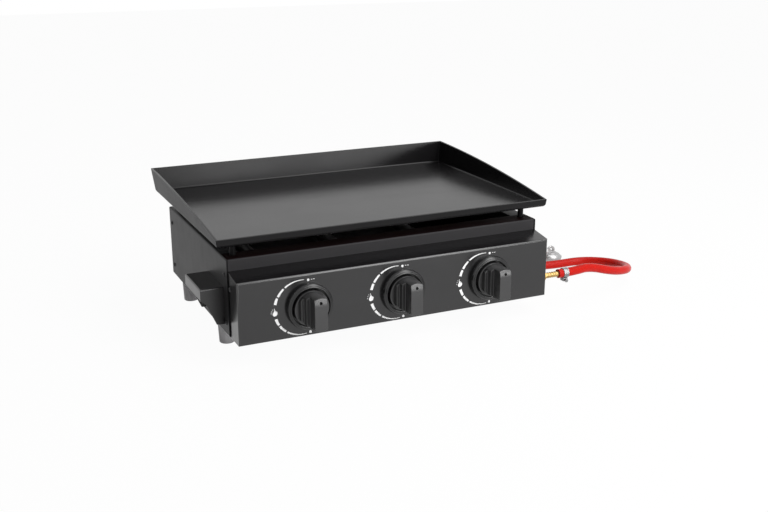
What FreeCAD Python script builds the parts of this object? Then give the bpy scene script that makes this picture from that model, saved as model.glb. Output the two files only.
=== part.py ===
import FreeCAD, Part
import math
import os
import re
import Sketcher

# Outdoor gas griddle station: a folded steel burner box on four feet, a control box with three
# valves in front of it, a lift-off griddle plate on four studs, and a hose with its regulator.
# X runs along the control panel, Y from front to back, Z up. The origin is on the ground, under
# the middle of the station without its hose. All sizes are millimetres.

SIZES = {
    # Griddle plate
    "plateWidth": 600.0,
    "plateDepth": 400.0,
    "plateGauge": 3.5,
    "rimHeight": 44.3,
    "lipHeight": 13.7,
    "wallSpread": 5.5,
    "rimRadius": 3400.0,
    "floorRadius": 3.0,
    "plateGap": 20.8,
    "studRadius": 5.0,
    "spigotRadius": 3.0,
    "spigotLength": 9.0,
    "spigotPlay": 0.5,
    # Burner box
    "bodyWidth": 559.0,
    "bodySetback": 8.0,
    "bodyDepth": 354.0,
    "bodyHeight": 127.7,
    "sheetGauge": 1.5,
    "bendRadius": 3.0,
    "trayDepth": 34.0,
    "sideFlange": 30.0,
    "sheetPlay": 0.3,
    "studInset": 17.5,
    "studSetback": 22.0,
    "panGauge": 1.2,
    "panInset": 5.0,
    "cornerInset": 14.0,
    "cornerLow": 20.0,
    "cornerHigh": 100.0,
    "ventLength": 60.0,
    "ventWidth": 8.0,
    "ventPitch": 92.0,
    "ventHeight": 92.0,
    "panVentPitch": 48.0,
    # Feet
    "footHeight": 33.0,
    "footRadius": 14.0,
    "footToe": 12.5,
    "footInset": 14.5,
    "footSetback": 66.0,
    "footRecess": 6.5,
    "footRecessDepth": 20.0,
    # Control box
    "boxInset": 2.0,
    "boxReach": 44.0,
    "boxHeight": 102.0,
    "ledgeRise": 6.8,
    "stemHole": 7.0,
    "bracketToe": 18.0,
    "bracketHole": 9.0,
    "bracketLevel": 82.0,
    # Knobs and their bezels
    "knobMargin": 115.0,
    "knobHeight": 50.0,
    "knobLength": 53.0,
    "knobRadius": 28.2,
    "gripRadius": 26.6,
    "gripDraft": 1.2,
    "gripWidth": 22.6,
    "gripFront": 15.0,
    "gripMiddle": 14.0,
    "gripStep": 4.6,
    "gripFoot": 19.9,
    "knobEdge": 1.6,
    "knobChamfer": 1.5,
    "discFront": 15.0,
    "skirtWall": 5.0,
    "knobWeb": 2.0,
    "bezelRadius": 38.5,
    "bezelMouth": 29.6,
    "bezelDepth": 11.5,
    "bezelFloor": 1.0,
    "bezelLip": 1.5,
    "bezelShoulder": 3.45,
    "bezelHole": 21.5,
    # Gas valves
    "stemRadius": 4.0,
    "stemPlay": 0.06,
    "stemReach": 30.0,
    "stemTail": 24.0,
    "collarRadius": 6.5,
    "collarWidth": 2.0,
    "collarPlay": 0.2,
    "pushTravel": 5.0,
    "capGauge": 3.0,
    "capLength": 48.0,
    "capHeight": 24.0,
    "capScrewPitch": 34.0,
    "valveRadius": 12.0,
    "valveLength": 30.0,
    "plugRadius": 8.0,
    "plugPlay": 0.05,
    "plugLength": 14.0,
    "plugFloor": 1.0,
    "valveSeat": 2.0,
    "springPlay": 0.6,
    "nozzleRadius": 6.0,
    "nozzleLength": 6.0,
    "jetRadius": 3.0,
    "jetRim": 1.0,
    "jetRimWidth": 2.0,
    "jetTip": 4.0,
    "neckRadius": 7.0,
    # Gas manifold and hose tail
    "pipeRadius": 8.0,
    "pipeWall": 1.5,
    "pipeHeight": 26.5,
    "pipeInset": 24.0,
    "pipeStub": 9.5,
    "capSink": 10.0,
    "capHead": 5.0,
    "capRim": 1.0,
    "tailHexRadius": 9.5,
    "tailHexWidth": 9.0,
    "tailRadius": 5.0,
    "tailLength": 31.5,
    "tailGrip": 22.0,
    "tailTip": 1.5,
    "shoulderRise": 2.0,
    "shoulderWidth": 4.0,
    "ribPitch": 5.0,
    "ribRise": 1.0,
    "ribWidth": 2.0,
    # Burners
    "burnerRadius": 11.0,
    "burnerWall": 1.0,
    "burnerMouth": 12.0,
    "burnerThroat": 7.5,
    "burnerRoom": 22.0,
    "mouthReach": 5.0,
    "mouthEnd": 6.0,
    "throatStart": 24.0,
    "throatEnd": 34.0,
    "tubeStart": 60.0,
    "portStart": 80.0,
    "portWidth": 2.4,
    "portLength": 18.0,
    "portPitch": 30.0,
    "railHeight": 72.0,
    "railSetback": 15.0,
    "electrodeRadius": 3.5,
    "electrodeOffset": 25.0,
    "electrodeReach": 72.0,
    "electrodeTip": 20.0,
    "sleeveBack": 8.0,
    "sleeveRim": 2.0,
    "sleeveRimWidth": 3.0,
    "sleeveCone": 2.0,
    # Carry handles
    "handleReach": 37.5,
    "handleWidth": 90.0,
    "handleHeight": 62.0,
    "handleLip": 18.0,
    "handleToe": 13.0,
    "handleKnee": 29.0,
    "handleKneeDrop": 7.0,
    "handleToeLevel": 1.0,
    "handleBend": 2.4,
    "handleBoltLevel": 38.0,
    "handleBoltPitch": 50.0,
    "handleLevel": 15.0,
    "handleSetback": 67.0,
    # Hose, clamps and regulator
    "hoseRadius": 8.0,
    "hoseBend": 0.45,
    "clampBand": 1.1,
    "clampWidth": 10.0,
    "clampSetback": 14.0,
    "housingWidth": 10.0,
    "housingLength": 11.0,
    "housingRise": 6.0,
    "wormRadius": 3.0,
    "wormLength": 16.0,
    "wormHead": 9.0,
    "wormRise": 3.5,
    "regulatorAcross": 463.0,
    "regulatorAlong": 222.0,
    "dialRadius": 22.5,
    "dialEdge": 7.0,
    "dialChamfer": 1.0,
    "domeStep": 5.0,
    "bossDrop": 2.0,
    "bossRadius": 12.0,
    "bossHeight": 14.5,
    "eyeRadius": 9.0,
    "eyeHole": 4.3,
    "eyeSink": 4.0,
    "eyeGauge": 3.5,
    "tailLevel": 12.0,
    "armLength": 38.0,
    "regulatorLevel": 17.0,
    "nutRadius": 15.5,
    "nutBore": 10.9,
    "nutThread": 12.0,
    "nutSeat": 43.0,
    "nutCollar": 3.0,
    "nutRoom": 5.0,
    "nutChamfer": 1.5,
    "nosePlay": 0.6,
    "noseReach": 4.0,
    "neckReach": 4.0,
    "neckRise": 3.0,
    "noseRadius": 8.0,
    # Screws
    "screwRadius": 2.0,
    "screwHead": 3.8,
    "screwHeadHeight": 2.0,
    "boltRadius": 2.5,
    "boltHead": 4.5,
    "boltHeadHeight": 3.2,
    "nutHeight": 4.0,
    "holePlay": 0.2,
    "screwTail": 3.0,
    "boltTail": 6.0,
    "nutTail": 1.0,
}

# Places that several pieces share, worked out from the sizes above.
DERIVED = {
    "plateFront": "-(plateDepth + bodySetback - boxReach - knobLength) / 2",
    "bodyFront": "plateFront + bodySetback",
    "bodyBack": "bodyFront + bodyDepth",
    "boxFront": "bodyFront - boxReach",
    "bodyTop": "footHeight + bodyHeight",
    "plateUnder": "bodyTop + plateGap",
    "knobLevel": "footHeight + knobHeight",
    "pipeLevel": "footHeight + pipeHeight",
    "pipeLine": "boxFront + pipeInset",
    "lipSpread": "wallSpread * lipHeight / rimHeight",
    "wallLean": "atan(wallSpread / rimHeight) / 1 deg",
    "studAcross": "bodyWidth / 2 - studInset",
    "footAcross": "bodyWidth / 2 - footInset",
    "frontFoot": "bodyFront + footSetback",
    "backFoot": "bodyBack - footSetback",
    "boxWidth": "bodyWidth - boxInset * 2",
    "knobPitch": "boxWidth / 2 - knobMargin",
    "burnerLength": "bodyDepth - burnerRoom",
    "burnerTip": "burnerLength - mouthReach",
    "valveBack": "sheetGauge + capGauge + valveLength",
    "plugBack": "valveBack - valveSeat",
    "skirtBack": "bezelFloor + pushTravel + sheetPlay",
    "collarFront": "sheetGauge + capGauge + collarPlay",
    "pipeEnd": "boxWidth / 2 + pipeStub - tailHexWidth",
    "hoseStart": "pipeEnd + tailHexWidth + tailLength",
    "regulatorHose": "plateFront + regulatorAlong + armLength",
}

NODES = []

doc = FreeCAD.newDocument("griddle_station")
sheet = doc.addObject("Spreadsheet::Sheet", "Sizes")


def fill_sheet():
    """Writes each driving size, and each place worked out from them, in its own named cell."""
    rows = [(word, str(value)) for word, value in SIZES.items()]
    rows += [(word, "=" + formula) for word, formula in DERIVED.items()]
    for number, (word, content) in enumerate(rows, start=1):
        sheet.set(f"A{number}", word)
        sheet.set(f"B{number}", content)
        sheet.setAlias(f"B{number}", word)
    doc.recompute()


def size(word):
    """Gives the number that a named cell holds."""
    return float(sheet.get(word))


def bound(formula):
    """Points every size named in a formula at its cell."""
    return re.sub(r"\b[a-z]+[A-Z]\w*", lambda word: "Sizes." + word[0], formula)


# Helpers for bodies, sketches and features


def new_body(label):
    """Starts a sub-part under its own label."""
    body = doc.addObject("PartDesign::Body", label)
    body.Label = label
    return body


def sketch_on(body, role, outlines=(), circles=(), lift="0"):
    """Draws closed outlines and circles on one of the body's own planes, bound to the sheet."""
    sketch = body.newObject("Sketcher::SketchObject", body.Name + "_sketch")
    plane = [item for item in body.Origin.OriginFeatures if item.Role == role][0]
    sketch.AttachmentSupport = [(plane, "")]
    sketch.MapMode = "FlatFace"
    sketch.setExpression("AttachmentOffset.Base.z", bound(lift))
    for outline in outlines:
        add_outline(sketch, outline)
    for across, up, radius in circles:
        add_circle(sketch, across, up, radius)
    return sketch


def hold_point(sketch, element, end, across, up):
    """Fixes a sketch point at two formulas measured from the sketch's origin."""
    start = sketch.getPoint(element, end)
    for kind, value, formula in (("DistanceX", start.x, across), ("DistanceY", start.y, up)):
        number = sketch.addConstraint(Sketcher.Constraint(kind, -1, 1, element, end, value))
        sketch.setExpression(f"Constraints[{number}]", bound(formula))


def add_outline(sketch, corners):
    """Adds a closed outline of straight edges whose corners follow the sheet."""
    first = sketch.GeometryCount
    count = len(corners)
    turn = 2 * math.pi / count
    ring = [FreeCAD.Vector(math.cos(turn * step), math.sin(turn * step), 0) for step in range(count)]
    for step in range(count):
        sketch.addGeometry(Part.LineSegment(ring[step], ring[(step + 1) % count]))
    for step in range(count):
        sketch.addConstraint(
            Sketcher.Constraint("Coincident", first + step, 2, first + (step + 1) % count, 1)
        )
    for step, (across, up) in enumerate(corners):
        hold_point(sketch, first + step, 1, across, up)


def add_circle(sketch, across, up, radius):
    """Adds a circle whose centre and radius follow the sheet."""
    element = sketch.addGeometry(Part.Circle(FreeCAD.Vector(1, 1, 0), FreeCAD.Vector(0, 0, 1), 5))
    hold_point(sketch, element, 3, across, up)
    number = sketch.addConstraint(Sketcher.Constraint("Radius", element, 5))
    sketch.setExpression(f"Constraints[{number}]", bound(radius))


def box_corners(low_x, low_y, high_x, high_y):
    """Lists a rectangle's four corners."""
    return [(low_x, low_y), (high_x, low_y), (high_x, high_y), (low_x, high_y)]


def pad(body, sketch, length, middle=False, back=False):
    """Raises a sketch, one way or evenly to both sides."""
    feature = body.newObject("PartDesign::Pad", body.Name + "_pad")
    feature.Profile = (sketch, [""])
    feature.Midplane = middle
    feature.Reversed = back
    feature.setExpression("Length", bound(length))
    return feature


def pocket(body, sketch, length, middle=False, back=False):
    """Cuts a sketch's outline out of the body."""
    feature = body.newObject("PartDesign::Pocket", body.Name + "_pocket")
    feature.Profile = (sketch, [""])
    feature.Midplane = middle
    feature.Reversed = back
    feature.setExpression("Length", bound(length))
    return feature


def repeat(body, feature, role, spacing, copies):
    """Repeats a feature along one of the body's axes."""
    pattern = body.newObject("PartDesign::LinearPattern", body.Name + "_pattern")
    pattern.Originals = [feature]
    axis = [item for item in body.Origin.OriginFeatures if item.Role == role][0]
    pattern.Direction = (axis, [""])
    pattern.Mode = "Spacing"
    pattern.Occurrences = copies
    pattern.setExpression("Offset", bound(spacing))
    body.Tip = pattern
    return pattern


def spin(body, profile):
    """Turns a half profile, given as radius and height, about the body's Z axis."""
    sketch = sketch_on(body, "XZ_Plane", [profile])
    feature = body.newObject("PartDesign::Revolution", body.Name + "_spin")
    feature.Profile = (sketch, [""])
    feature.ReferenceAxis = (sketch, ["V_Axis"])
    feature.Angle = 360
    return feature


def round_edges(body, radius, chosen):
    """Rounds the edges of the last feature that a test picks."""
    doc.recompute()
    base = body.Tip
    names = [f"Edge{number}" for number, edge in enumerate(base.Shape.Edges, 1) if chosen(edge)]
    feature = body.newObject("PartDesign::Fillet", body.Name + "_fillet")
    feature.Base = (base, names)
    feature.setExpression("Radius", bound(radius))
    return feature


def hollow(body, gauge, chosen):
    """Turns the solid into sheet metal of one gauge, open at the faces that a test picks."""
    doc.recompute()
    base = body.Tip
    names = [f"Face{number}" for number, face in enumerate(base.Shape.Faces, 1) if chosen(face)]
    feature = body.newObject("PartDesign::Thickness", body.Name + "_sheet")
    feature.Base = (base, names)
    feature.Reversed = True
    feature.setExpression("Value", bound(gauge))
    return feature


def runs_along(edge, axis):
    """Says whether an edge is straight and parallel to an axis."""
    if len(edge.Vertexes) < 2:
        return False
    span = edge.Vertexes[-1].Point - edge.Vertexes[0].Point
    return span.Length > 1 and abs(span.normalize().dot(axis)) > 0.999


def faces_towards(face, axis, least=0.7):
    """Says whether a face's outward side looks along an axis."""
    return face.normalAt(0, 0).dot(axis) > least


X_AXIS = FreeCAD.Vector(1, 0, 0)
Y_AXIS = FreeCAD.Vector(0, 1, 0)
Z_AXIS = FreeCAD.Vector(0, 0, 1)

# Turns that point a body's own Z axis the named way; "hanging" points it right with its Y up.
POINTING = {
    "up": FreeCAD.Rotation(X_AXIS, 0),
    "down": FreeCAD.Rotation(X_AXIS, 180),
    "front": FreeCAD.Rotation(X_AXIS, 90),
    "back": FreeCAD.Rotation(X_AXIS, -90),
    "right": FreeCAD.Rotation(Y_AXIS, 90),
    "left": FreeCAD.Rotation(Y_AXIS, -90),
    "hanging": FreeCAD.Rotation(X_AXIS, 90).multiply(FreeCAD.Rotation(Y_AXIS, 90)),
}


def place(item, across, along, up, pointing="up"):
    """Puts an item at three formulas, with its own Z axis pointing the named way."""
    item.Placement = FreeCAD.Placement(FreeCAD.Vector(), POINTING[pointing])
    for letter, formula in (("x", across), ("y", along), ("z", up)):
        item.setExpression(f"Placement.Base.{letter}", bound(formula))


def node(item, across="0", along="0", up="0", pointing="up"):
    """Places a finished sub-part and lists it for export."""
    place(item, across, along, up, pointing)
    NODES.append(item)
    return item


def group(label, members):
    """Lists several like pieces as one node of separate solids."""
    item = doc.addObject("Part::Compound", label)
    item.Label = label
    item.Links = members
    NODES.append(item)


def turned(label, profile):
    """Makes a turned piece from its half profile."""
    body = new_body(label)
    spin(body, profile)
    return body


# Griddle plate: a shallow pan with leaning walls, low at the front, on four welded studs


def rim_sketch(body):
    """Draws what is cut off above the rim, which rises in one long arc from the lip to the back."""
    sketch = sketch_on(body, "YZ_Plane")
    depth = size("plateDepth")
    lip = size("lipHeight")
    rim = size("rimHeight")
    radius = size("rimRadius")
    spare = size("lipHeight")
    start = FreeCAD.Vector(0, lip, 0)
    end = FreeCAD.Vector(depth, rim, 0)
    chord = end - start
    middle = (start + end) / 2
    bulge = radius - math.sqrt(radius ** 2 - (chord.Length / 2) ** 2)
    crown = middle + FreeCAD.Vector(-chord.y, chord.x, 0).normalize() * bulge
    corners = [
        end,
        FreeCAD.Vector(depth, rim + spare, 0),
        FreeCAD.Vector(-spare, rim + spare, 0),
        FreeCAD.Vector(-spare, lip, 0),
        start,
    ]
    for near, far in zip(corners, corners[1:]):
        sketch.addGeometry(Part.LineSegment(near, far))
    arc = sketch.addGeometry(Part.Arc(start, crown, end))
    for element in range(3):
        sketch.addConstraint(Sketcher.Constraint("Coincident", element, 2, element + 1, 1))
    points = [
        (0, 1, "plateDepth", "rimHeight"),
        (1, 1, "plateDepth", "rimHeight + lipHeight"),
        (2, 1, "-lipHeight", "rimHeight + lipHeight"),
        (3, 1, "-lipHeight", "lipHeight"),
        (3, 2, "0", "lipHeight"),
    ]
    for element, side, across, up in points:
        hold_point(sketch, element, side, across, up)
    low_end, high_end = (1, 2) if sketch.getPoint(arc, 1).x < sketch.getPoint(arc, 2).x else (2, 1)
    sketch.addConstraint(Sketcher.Constraint("Coincident", arc, low_end, 3, 2))
    sketch.addConstraint(Sketcher.Constraint("Coincident", arc, high_end, 0, 1))
    number = sketch.addConstraint(Sketcher.Constraint("Radius", arc, radius))
    sketch.setExpression(f"Constraints[{number}]", bound("rimRadius"))
    return sketch


def lean_walls(body):
    """Leans the pan's four walls outward from its underside."""
    doc.recompute()
    base = body.Tip
    named = [(f"Face{number}", face) for number, face in enumerate(base.Shape.Faces, 1)]
    feature = body.newObject("PartDesign::Draft", body.Name + "_lean")
    feature.Base = (base, [name for name, face in named if abs(face.normalAt(0, 0).z) < 0.5])
    feature.NeutralPlane = (base, [name for name, face in named if faces_towards(face, -Z_AXIS)])
    feature.Reversed = True
    feature.setExpression("Angle", bound("wallLean"))


def griddle_plate():
    """Makes the griddle plate: a leaning pan of one gauge, cut down to its rim line."""
    body = new_body("griddle_plate")
    half = "plateWidth / 2 - wallSpread"
    floor = box_corners(f"-({half})", "lipSpread", half, "plateDepth - wallSpread")
    pad(body, sketch_on(body, "XY_Plane", [floor]), "rimHeight")
    lean_walls(body)
    round_edges(
        body,
        "floorRadius + plateGauge",
        lambda edge: all(abs(corner.Z) < 0.01 for corner in edge.Vertexes),
    )
    hollow(body, "plateGauge", lambda face: faces_towards(face, Z_AXIS, 0.99))
    pocket(body, rim_sketch(body), "plateWidth * 2", middle=True)
    node(body, "0", "plateFront", "plateUnder")


def plate_studs():
    """Makes the four studs that hold the plate above the burner box."""
    profile = [
        ("0", "0"),
        ("studRadius", "0"),
        ("studRadius", "-plateGap"),
        ("spigotRadius", "-plateGap"),
        ("spigotRadius", "-plateGap - spigotLength + 1"),
        ("spigotRadius - 1", "-plateGap - spigotLength"),
        ("0", "-plateGap - spigotLength"),
    ]
    studs = []
    for side in (-1, 1):
        for along in ("bodyFront + studSetback", "bodyBack - studSetback"):
            stud = turned(f"stud_{len(studs)}", profile)
            place(stud, f"studAcross * {side}", along, "plateUnder")
            studs.append(stud)
    group("plate_studs", studs)


# Burner box: two side panels, a front and a back tray between them, and a pan on their flanges


def side_panel(label, pointing_side):
    """Makes a side panel: a channel whose flanges stop short of the front and back trays."""
    body = new_body(label)
    section = box_corners("-sideFlange", "0", "0", "bodyHeight")
    pad(body, sketch_on(body, "XZ_Plane", [section]), "bodyDepth", middle=True)
    round_edges(
        body,
        "bendRadius",
        lambda edge: runs_along(edge, Y_AXIS) and abs(edge.Vertexes[0].X) < 0.01,
    )
    hollow(
        body,
        "sheetGauge",
        lambda face: abs(face.CenterOfMass.x + size("sideFlange")) < 0.01
        or abs(abs(face.CenterOfMass.y) - size("bodyDepth") / 2) < 0.01,
    )
    near = "bodyDepth / 2 - trayDepth - sheetPlay"
    notches = [
        box_corners("-sideFlange - 1", near, "-sheetGauge", "bodyDepth / 2 + 1"),
        box_corners("-sideFlange - 1", "-bodyDepth / 2 - 1", "-sheetGauge", f"-({near})"),
    ]
    pocket(body, sketch_on(body, "XY_Plane", notches), "bodyHeight * 3", middle=True)
    foot_holes = [
        ("-footInset", f"(bodyDepth / 2 - footSetback) * {end}", "boltRadius + holePlay")
        for end in (-1, 1)
    ]
    pocket(body, sketch_on(body, "XY_Plane", circles=foot_holes), "bodyHeight", middle=True)
    joints = corner_screw_holes()
    joints += handle_screw_holes(pointing_side)
    pocket(body, sketch_on(body, "YZ_Plane", circles=joints), "sideFlange", middle=True)
    node(body, f"bodyWidth / 2 * {pointing_side}", "bodyFront + bodyDepth / 2", "footHeight")
    if pointing_side < 0:
        body.Placement = FreeCAD.Placement(body.Placement.Base, FreeCAD.Rotation(Z_AXIS, 180))


def corner_screw_holes():
    """Lists the holes where each tray's ends are screwed to the side panels."""
    holes = []
    for side in (-1, 1):
        for up in ("cornerLow", "cornerHigh"):
            holes.append((f"(bodyDepth / 2 - cornerInset) * {side}", up, "screwRadius + holePlay"))
    return holes


def handle_screw_holes(side):
    """Lists a side panel's two holes for its carry handle."""
    middle = f"(handleSetback - bodyDepth / 2) * {side}"
    up = "handleLevel + handleBoltLevel"
    return [
        (f"{middle} + handleBoltPitch / 2 * {hand}", up, "boltRadius + holePlay") for hand in (-1, 1)
    ]


def wall_tray(label):
    """Makes a wall between the side panels, folded inward along its four edges."""
    body = new_body(label)
    half = "bodyWidth / 2 - sheetGauge - sheetPlay"
    face = box_corners(f"-({half})", "0", half, "bodyHeight")
    pad(body, sketch_on(body, "XZ_Plane", [face]), "trayDepth", back=True)
    round_edges(
        body,
        "bendRadius",
        lambda edge: all(abs(corner.Y) < 0.01 for corner in edge.Vertexes),
    )
    hollow(body, "sheetGauge", lambda face: faces_towards(face, Y_AXIS, 0.99))
    for side in (-1, 1):
        holes = [("cornerInset", up, "screwRadius + holePlay") for up in ("cornerLow", "cornerHigh")]
        sketch = sketch_on(body, "YZ_Plane", circles=holes, lift=f"({half}) * {side}")
        pocket(body, sketch, "sheetGauge * 4", middle=True)
    studs = [
        (f"studAcross * {side}", "studSetback", "spigotRadius + spigotPlay") for side in (-1, 1)
    ]
    sketch = sketch_on(body, "XY_Plane", circles=studs, lift="bodyHeight")
    pocket(body, sketch, "sheetGauge * 4", middle=True)
    return body


def front_wall():
    """Makes the wall that the burners and igniters pass through."""
    body = wall_tray("front_wall")
    holes = []
    for side in (-1, 0, 1):
        holes.append((f"knobPitch * {side}", "knobHeight", "burnerMouth + sheetPlay"))
        holes.append(
            (f"knobPitch * {side} + electrodeOffset", "knobHeight", "electrodeRadius + holePlay")
        )
    pocket(body, sketch_on(body, "XZ_Plane", circles=holes), "sheetGauge * 4", middle=True)
    bracket_holes = [
        (f"(boxWidth / 2 - sheetGauge - bracketHole) * {side}", "bracketLevel", "screwRadius + holePlay")
        for side in (-1, 1)
    ]
    pocket(body, sketch_on(body, "XZ_Plane", circles=bracket_holes), "sheetGauge * 4", middle=True)
    node(body, "0", "bodyFront", "footHeight")


def back_panel():
    """Makes the back wall with its row of vents."""
    body = wall_tray("back_panel")
    first = "-ventPitch * 2"
    slot = box_corners(
        f"{first} - ventLength / 2",
        "ventHeight - ventWidth / 2",
        f"{first} + ventLength / 2",
        "ventHeight + ventWidth / 2",
    )
    cut = pocket(body, sketch_on(body, "XZ_Plane", [slot]), "sheetGauge * 4", middle=True)
    repeat(body, cut, "X_Axis", "ventPitch", 5)
    node(body, "0", "bodyBack", "footHeight")
    body.Placement = FreeCAD.Placement(body.Placement.Base, FreeCAD.Rotation(Z_AXIS, 180))


def base_pan():
    """Makes the loose floor of the burner box, with vents under the burners."""
    body = new_body("base_pan")
    half = "bodyWidth / 2 - panInset"
    deep = "bodyDepth - panInset"
    face = box_corners(f"-({half})", "panInset", half, deep)
    pad(body, sketch_on(body, "XY_Plane", [face]), "panGauge")
    slots = []
    for side in (-1, 0, 1):
        middle = f"knobPitch * {side}"
        slots.append(
            box_corners(
                f"{middle} - ventLength / 2",
                "bodyDepth / 2 - panVentPitch * 2 - ventWidth / 2",
                f"{middle} + ventLength / 2",
                "bodyDepth / 2 - panVentPitch * 2 + ventWidth / 2",
            )
        )
    cut = pocket(body, sketch_on(body, "XY_Plane", slots), "panGauge * 4", middle=True)
    repeat(body, cut, "Y_Axis", "panVentPitch", 5)
    holes = [
        (f"footAcross * {side}", along, "boltRadius + holePlay")
        for side in (-1, 1)
        for along in ("footSetback", "bodyDepth - footSetback")
    ]
    pocket(body, sketch_on(body, "XY_Plane", circles=holes), "panGauge * 4", middle=True)
    node(body, "0", "bodyFront", "footHeight + sheetGauge")


def corner_screws():
    """Makes the eight screws that join the side panels to the trays."""
    screws = []
    for side, pointing in ((-1, "left"), (1, "right")):
        for along in ("bodyFront + cornerInset", "bodyBack - cornerInset"):
            for up in ("footHeight + cornerLow", "footHeight + cornerHigh"):
                screw = make_screw(f"corner_screw_{len(screws)}", "sheetGauge * 2 + screwTail")
                place(screw, f"bodyWidth / 2 * {side}", along, up, pointing)
                screws.append(screw)
    group("corner_screws", screws)


def make_screw(label, length):
    """Makes a small domed screw, its head above the origin."""
    return turned(
        label,
        [
            ("0", f"-({length})"),
            ("screwRadius", f"-({length})"),
            ("screwRadius", "0"),
            ("screwHead", "0"),
            ("screwHead", "screwHeadHeight * 0.5"),
            ("screwHead * 0.6", "screwHeadHeight"),
            ("0", "screwHeadHeight"),
        ],
    )


def make_bolt(label, length):
    """Makes a flat-headed bolt, its head above the origin."""
    return turned(
        label,
        [
            ("0", f"-({length})"),
            ("boltRadius", f"-({length})"),
            ("boltRadius", "0"),
            ("boltHead", "0"),
            ("boltHead", "boltHeadHeight"),
            ("0", "boltHeadHeight"),
        ],
    )


def hexagon(flat_radius):
    """Lists a hexagon's corners about the origin, from the distance of its flats."""
    corner = f"({flat_radius} * 1.1547)"
    return [
        (corner, "0"),
        (f"{corner} / 2", flat_radius),
        (f"-{corner} / 2", flat_radius),
        (f"-{corner}", "0"),
        (f"-{corner} / 2", f"-{flat_radius}"),
        (f"{corner} / 2", f"-{flat_radius}"),
    ]


# Feet


def feet():
    """Makes the four tapered feet with the bolts and nuts that hold them."""
    profile = [
        ("boltRadius + holePlay", "footHeight"),
        ("boltRadius + holePlay", "footRecessDepth"),
        ("footRecess", "footRecessDepth"),
        ("footRecess", "0"),
        ("footToe - 1", "0"),
        ("footToe", "1"),
        ("footRadius", "footHeight"),
    ]
    bolts = []
    nuts = []
    for side, hand in ((-1, "left"), (1, "right")):
        for along, end in (("frontFoot", "front"), ("backFoot", "back")):
            across = f"footAcross * {side}"
            node(turned(f"foot_{end}_{hand}", profile), across, along, "0")
            length = "footHeight - footRecessDepth + sheetGauge + panGauge + nutHeight + nutTail"
            bolt = make_bolt(f"foot_bolt_{len(bolts)}", length)
            place(bolt, across, along, "footRecessDepth", "down")
            bolts.append(bolt)
            nut = new_body(f"foot_nut_{len(nuts)}")
            ring = sketch_on(nut, "XY_Plane", [hexagon("boltHead")])
            add_circle(ring, "0", "0", "boltRadius")
            pad(nut, ring, "nutHeight")
            place(nut, across, along, "footHeight + sheetGauge + panGauge")
            nuts.append(nut)
    group("foot_bolts", bolts)
    group("foot_nuts", nuts)


# Control box: one folded shell in front of the burner box


def control_box():
    """Makes the control panel with its sloping ledge, ends and floor, open towards the body."""
    body = new_body("control_box")
    section = [
        ("0", "0"),
        ("boxReach", "0"),
        ("boxReach", "boxHeight + ledgeRise"),
        ("0", "boxHeight"),
    ]
    pad(body, sketch_on(body, "YZ_Plane", [section]), "boxWidth", middle=True)
    round_edges(
        body,
        "bendRadius",
        lambda edge: all(abs(corner.Y) < 0.01 for corner in edge.Vertexes),
    )
    hollow(body, "sheetGauge", lambda face: faces_towards(face, Y_AXIS, 0.99))
    holes = []
    for side in (-1, 0, 1):
        holes.append((f"knobPitch * {side}", "knobHeight", "stemHole"))
        for hand in (-1, 1):
            across = f"knobPitch * {side} + capScrewPitch / 2 * {hand}"
            holes.append((across, "knobHeight", "screwRadius + holePlay"))
    pocket(body, sketch_on(body, "XZ_Plane", circles=holes), "sheetGauge * 4", middle=True)
    inlet = [("pipeInset", "pipeHeight", "pipeRadius + sheetPlay")]
    sketch = sketch_on(body, "YZ_Plane", circles=inlet, lift="boxWidth / 2")
    pocket(body, sketch, "sheetGauge * 4", middle=True)
    for side in (-1, 1):
        hole = [("boxReach - bracketHole", "bracketLevel", "screwRadius + holePlay")]
        sketch = sketch_on(body, "YZ_Plane", circles=hole, lift=f"boxWidth / 2 * {side}")
        pocket(body, sketch, "sheetGauge * 4", middle=True)
    node(body, "0", "boxFront", "footHeight")


def box_brackets():
    """Makes the two angles that screw the control box to the front wall, with their screws."""
    brackets = []
    screws = []
    for side, pointing in ((-1, "left"), (1, "right")):
        bracket = new_body(f"bracket_{len(brackets)}")
        outer = f"(boxWidth / 2 - sheetGauge) * {side}"
        inner = f"(boxWidth / 2 - sheetGauge * 2) * {side}"
        toe = f"(boxWidth / 2 - sheetGauge - bracketToe) * {side}"
        section = [
            (outer, "boxReach - bracketToe"),
            (outer, "boxReach"),
            (toe, "boxReach"),
            (toe, "boxReach - sheetGauge"),
            (inner, "boxReach - sheetGauge"),
            (inner, "boxReach - bracketToe"),
        ]
        pad(bracket, sketch_on(bracket, "XY_Plane", [section]), "bracketToe", middle=True)
        end_hole = sketch_on(
            bracket, "YZ_Plane", circles=[("boxReach - bracketHole", "0", "screwRadius")], lift=outer
        )
        pocket(bracket, end_hole, "sheetGauge * 4", middle=True)
        across = f"(boxWidth / 2 - sheetGauge - bracketHole) * {side}"
        wall_hole = sketch_on(
            bracket, "XZ_Plane", circles=[(across, "0", "screwRadius")], lift="-boxReach"
        )
        pocket(bracket, wall_hole, "sheetGauge * 4", middle=True)
        level = "footHeight + bracketLevel"
        place(bracket, "0", "boxFront", level)
        brackets.append(bracket)
        end_screw = make_screw(f"box_screw_{len(screws)}", "sheetGauge * 2 + screwTail")
        place(end_screw, f"boxWidth / 2 * {side}", "bodyFront - bracketHole", level, pointing)
        screws.append(end_screw)
        wall_screw = make_screw(f"box_screw_{len(screws)}", "sheetGauge * 2 + screwTail")
        place(wall_screw, across, "bodyFront + sheetGauge", level, "back")
        screws.append(wall_screw)
    group("box_brackets", brackets)
    group("box_screws", screws)


# Knobs, bezels and gas valves: each station's pieces share one axis, measured from the panel


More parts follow.
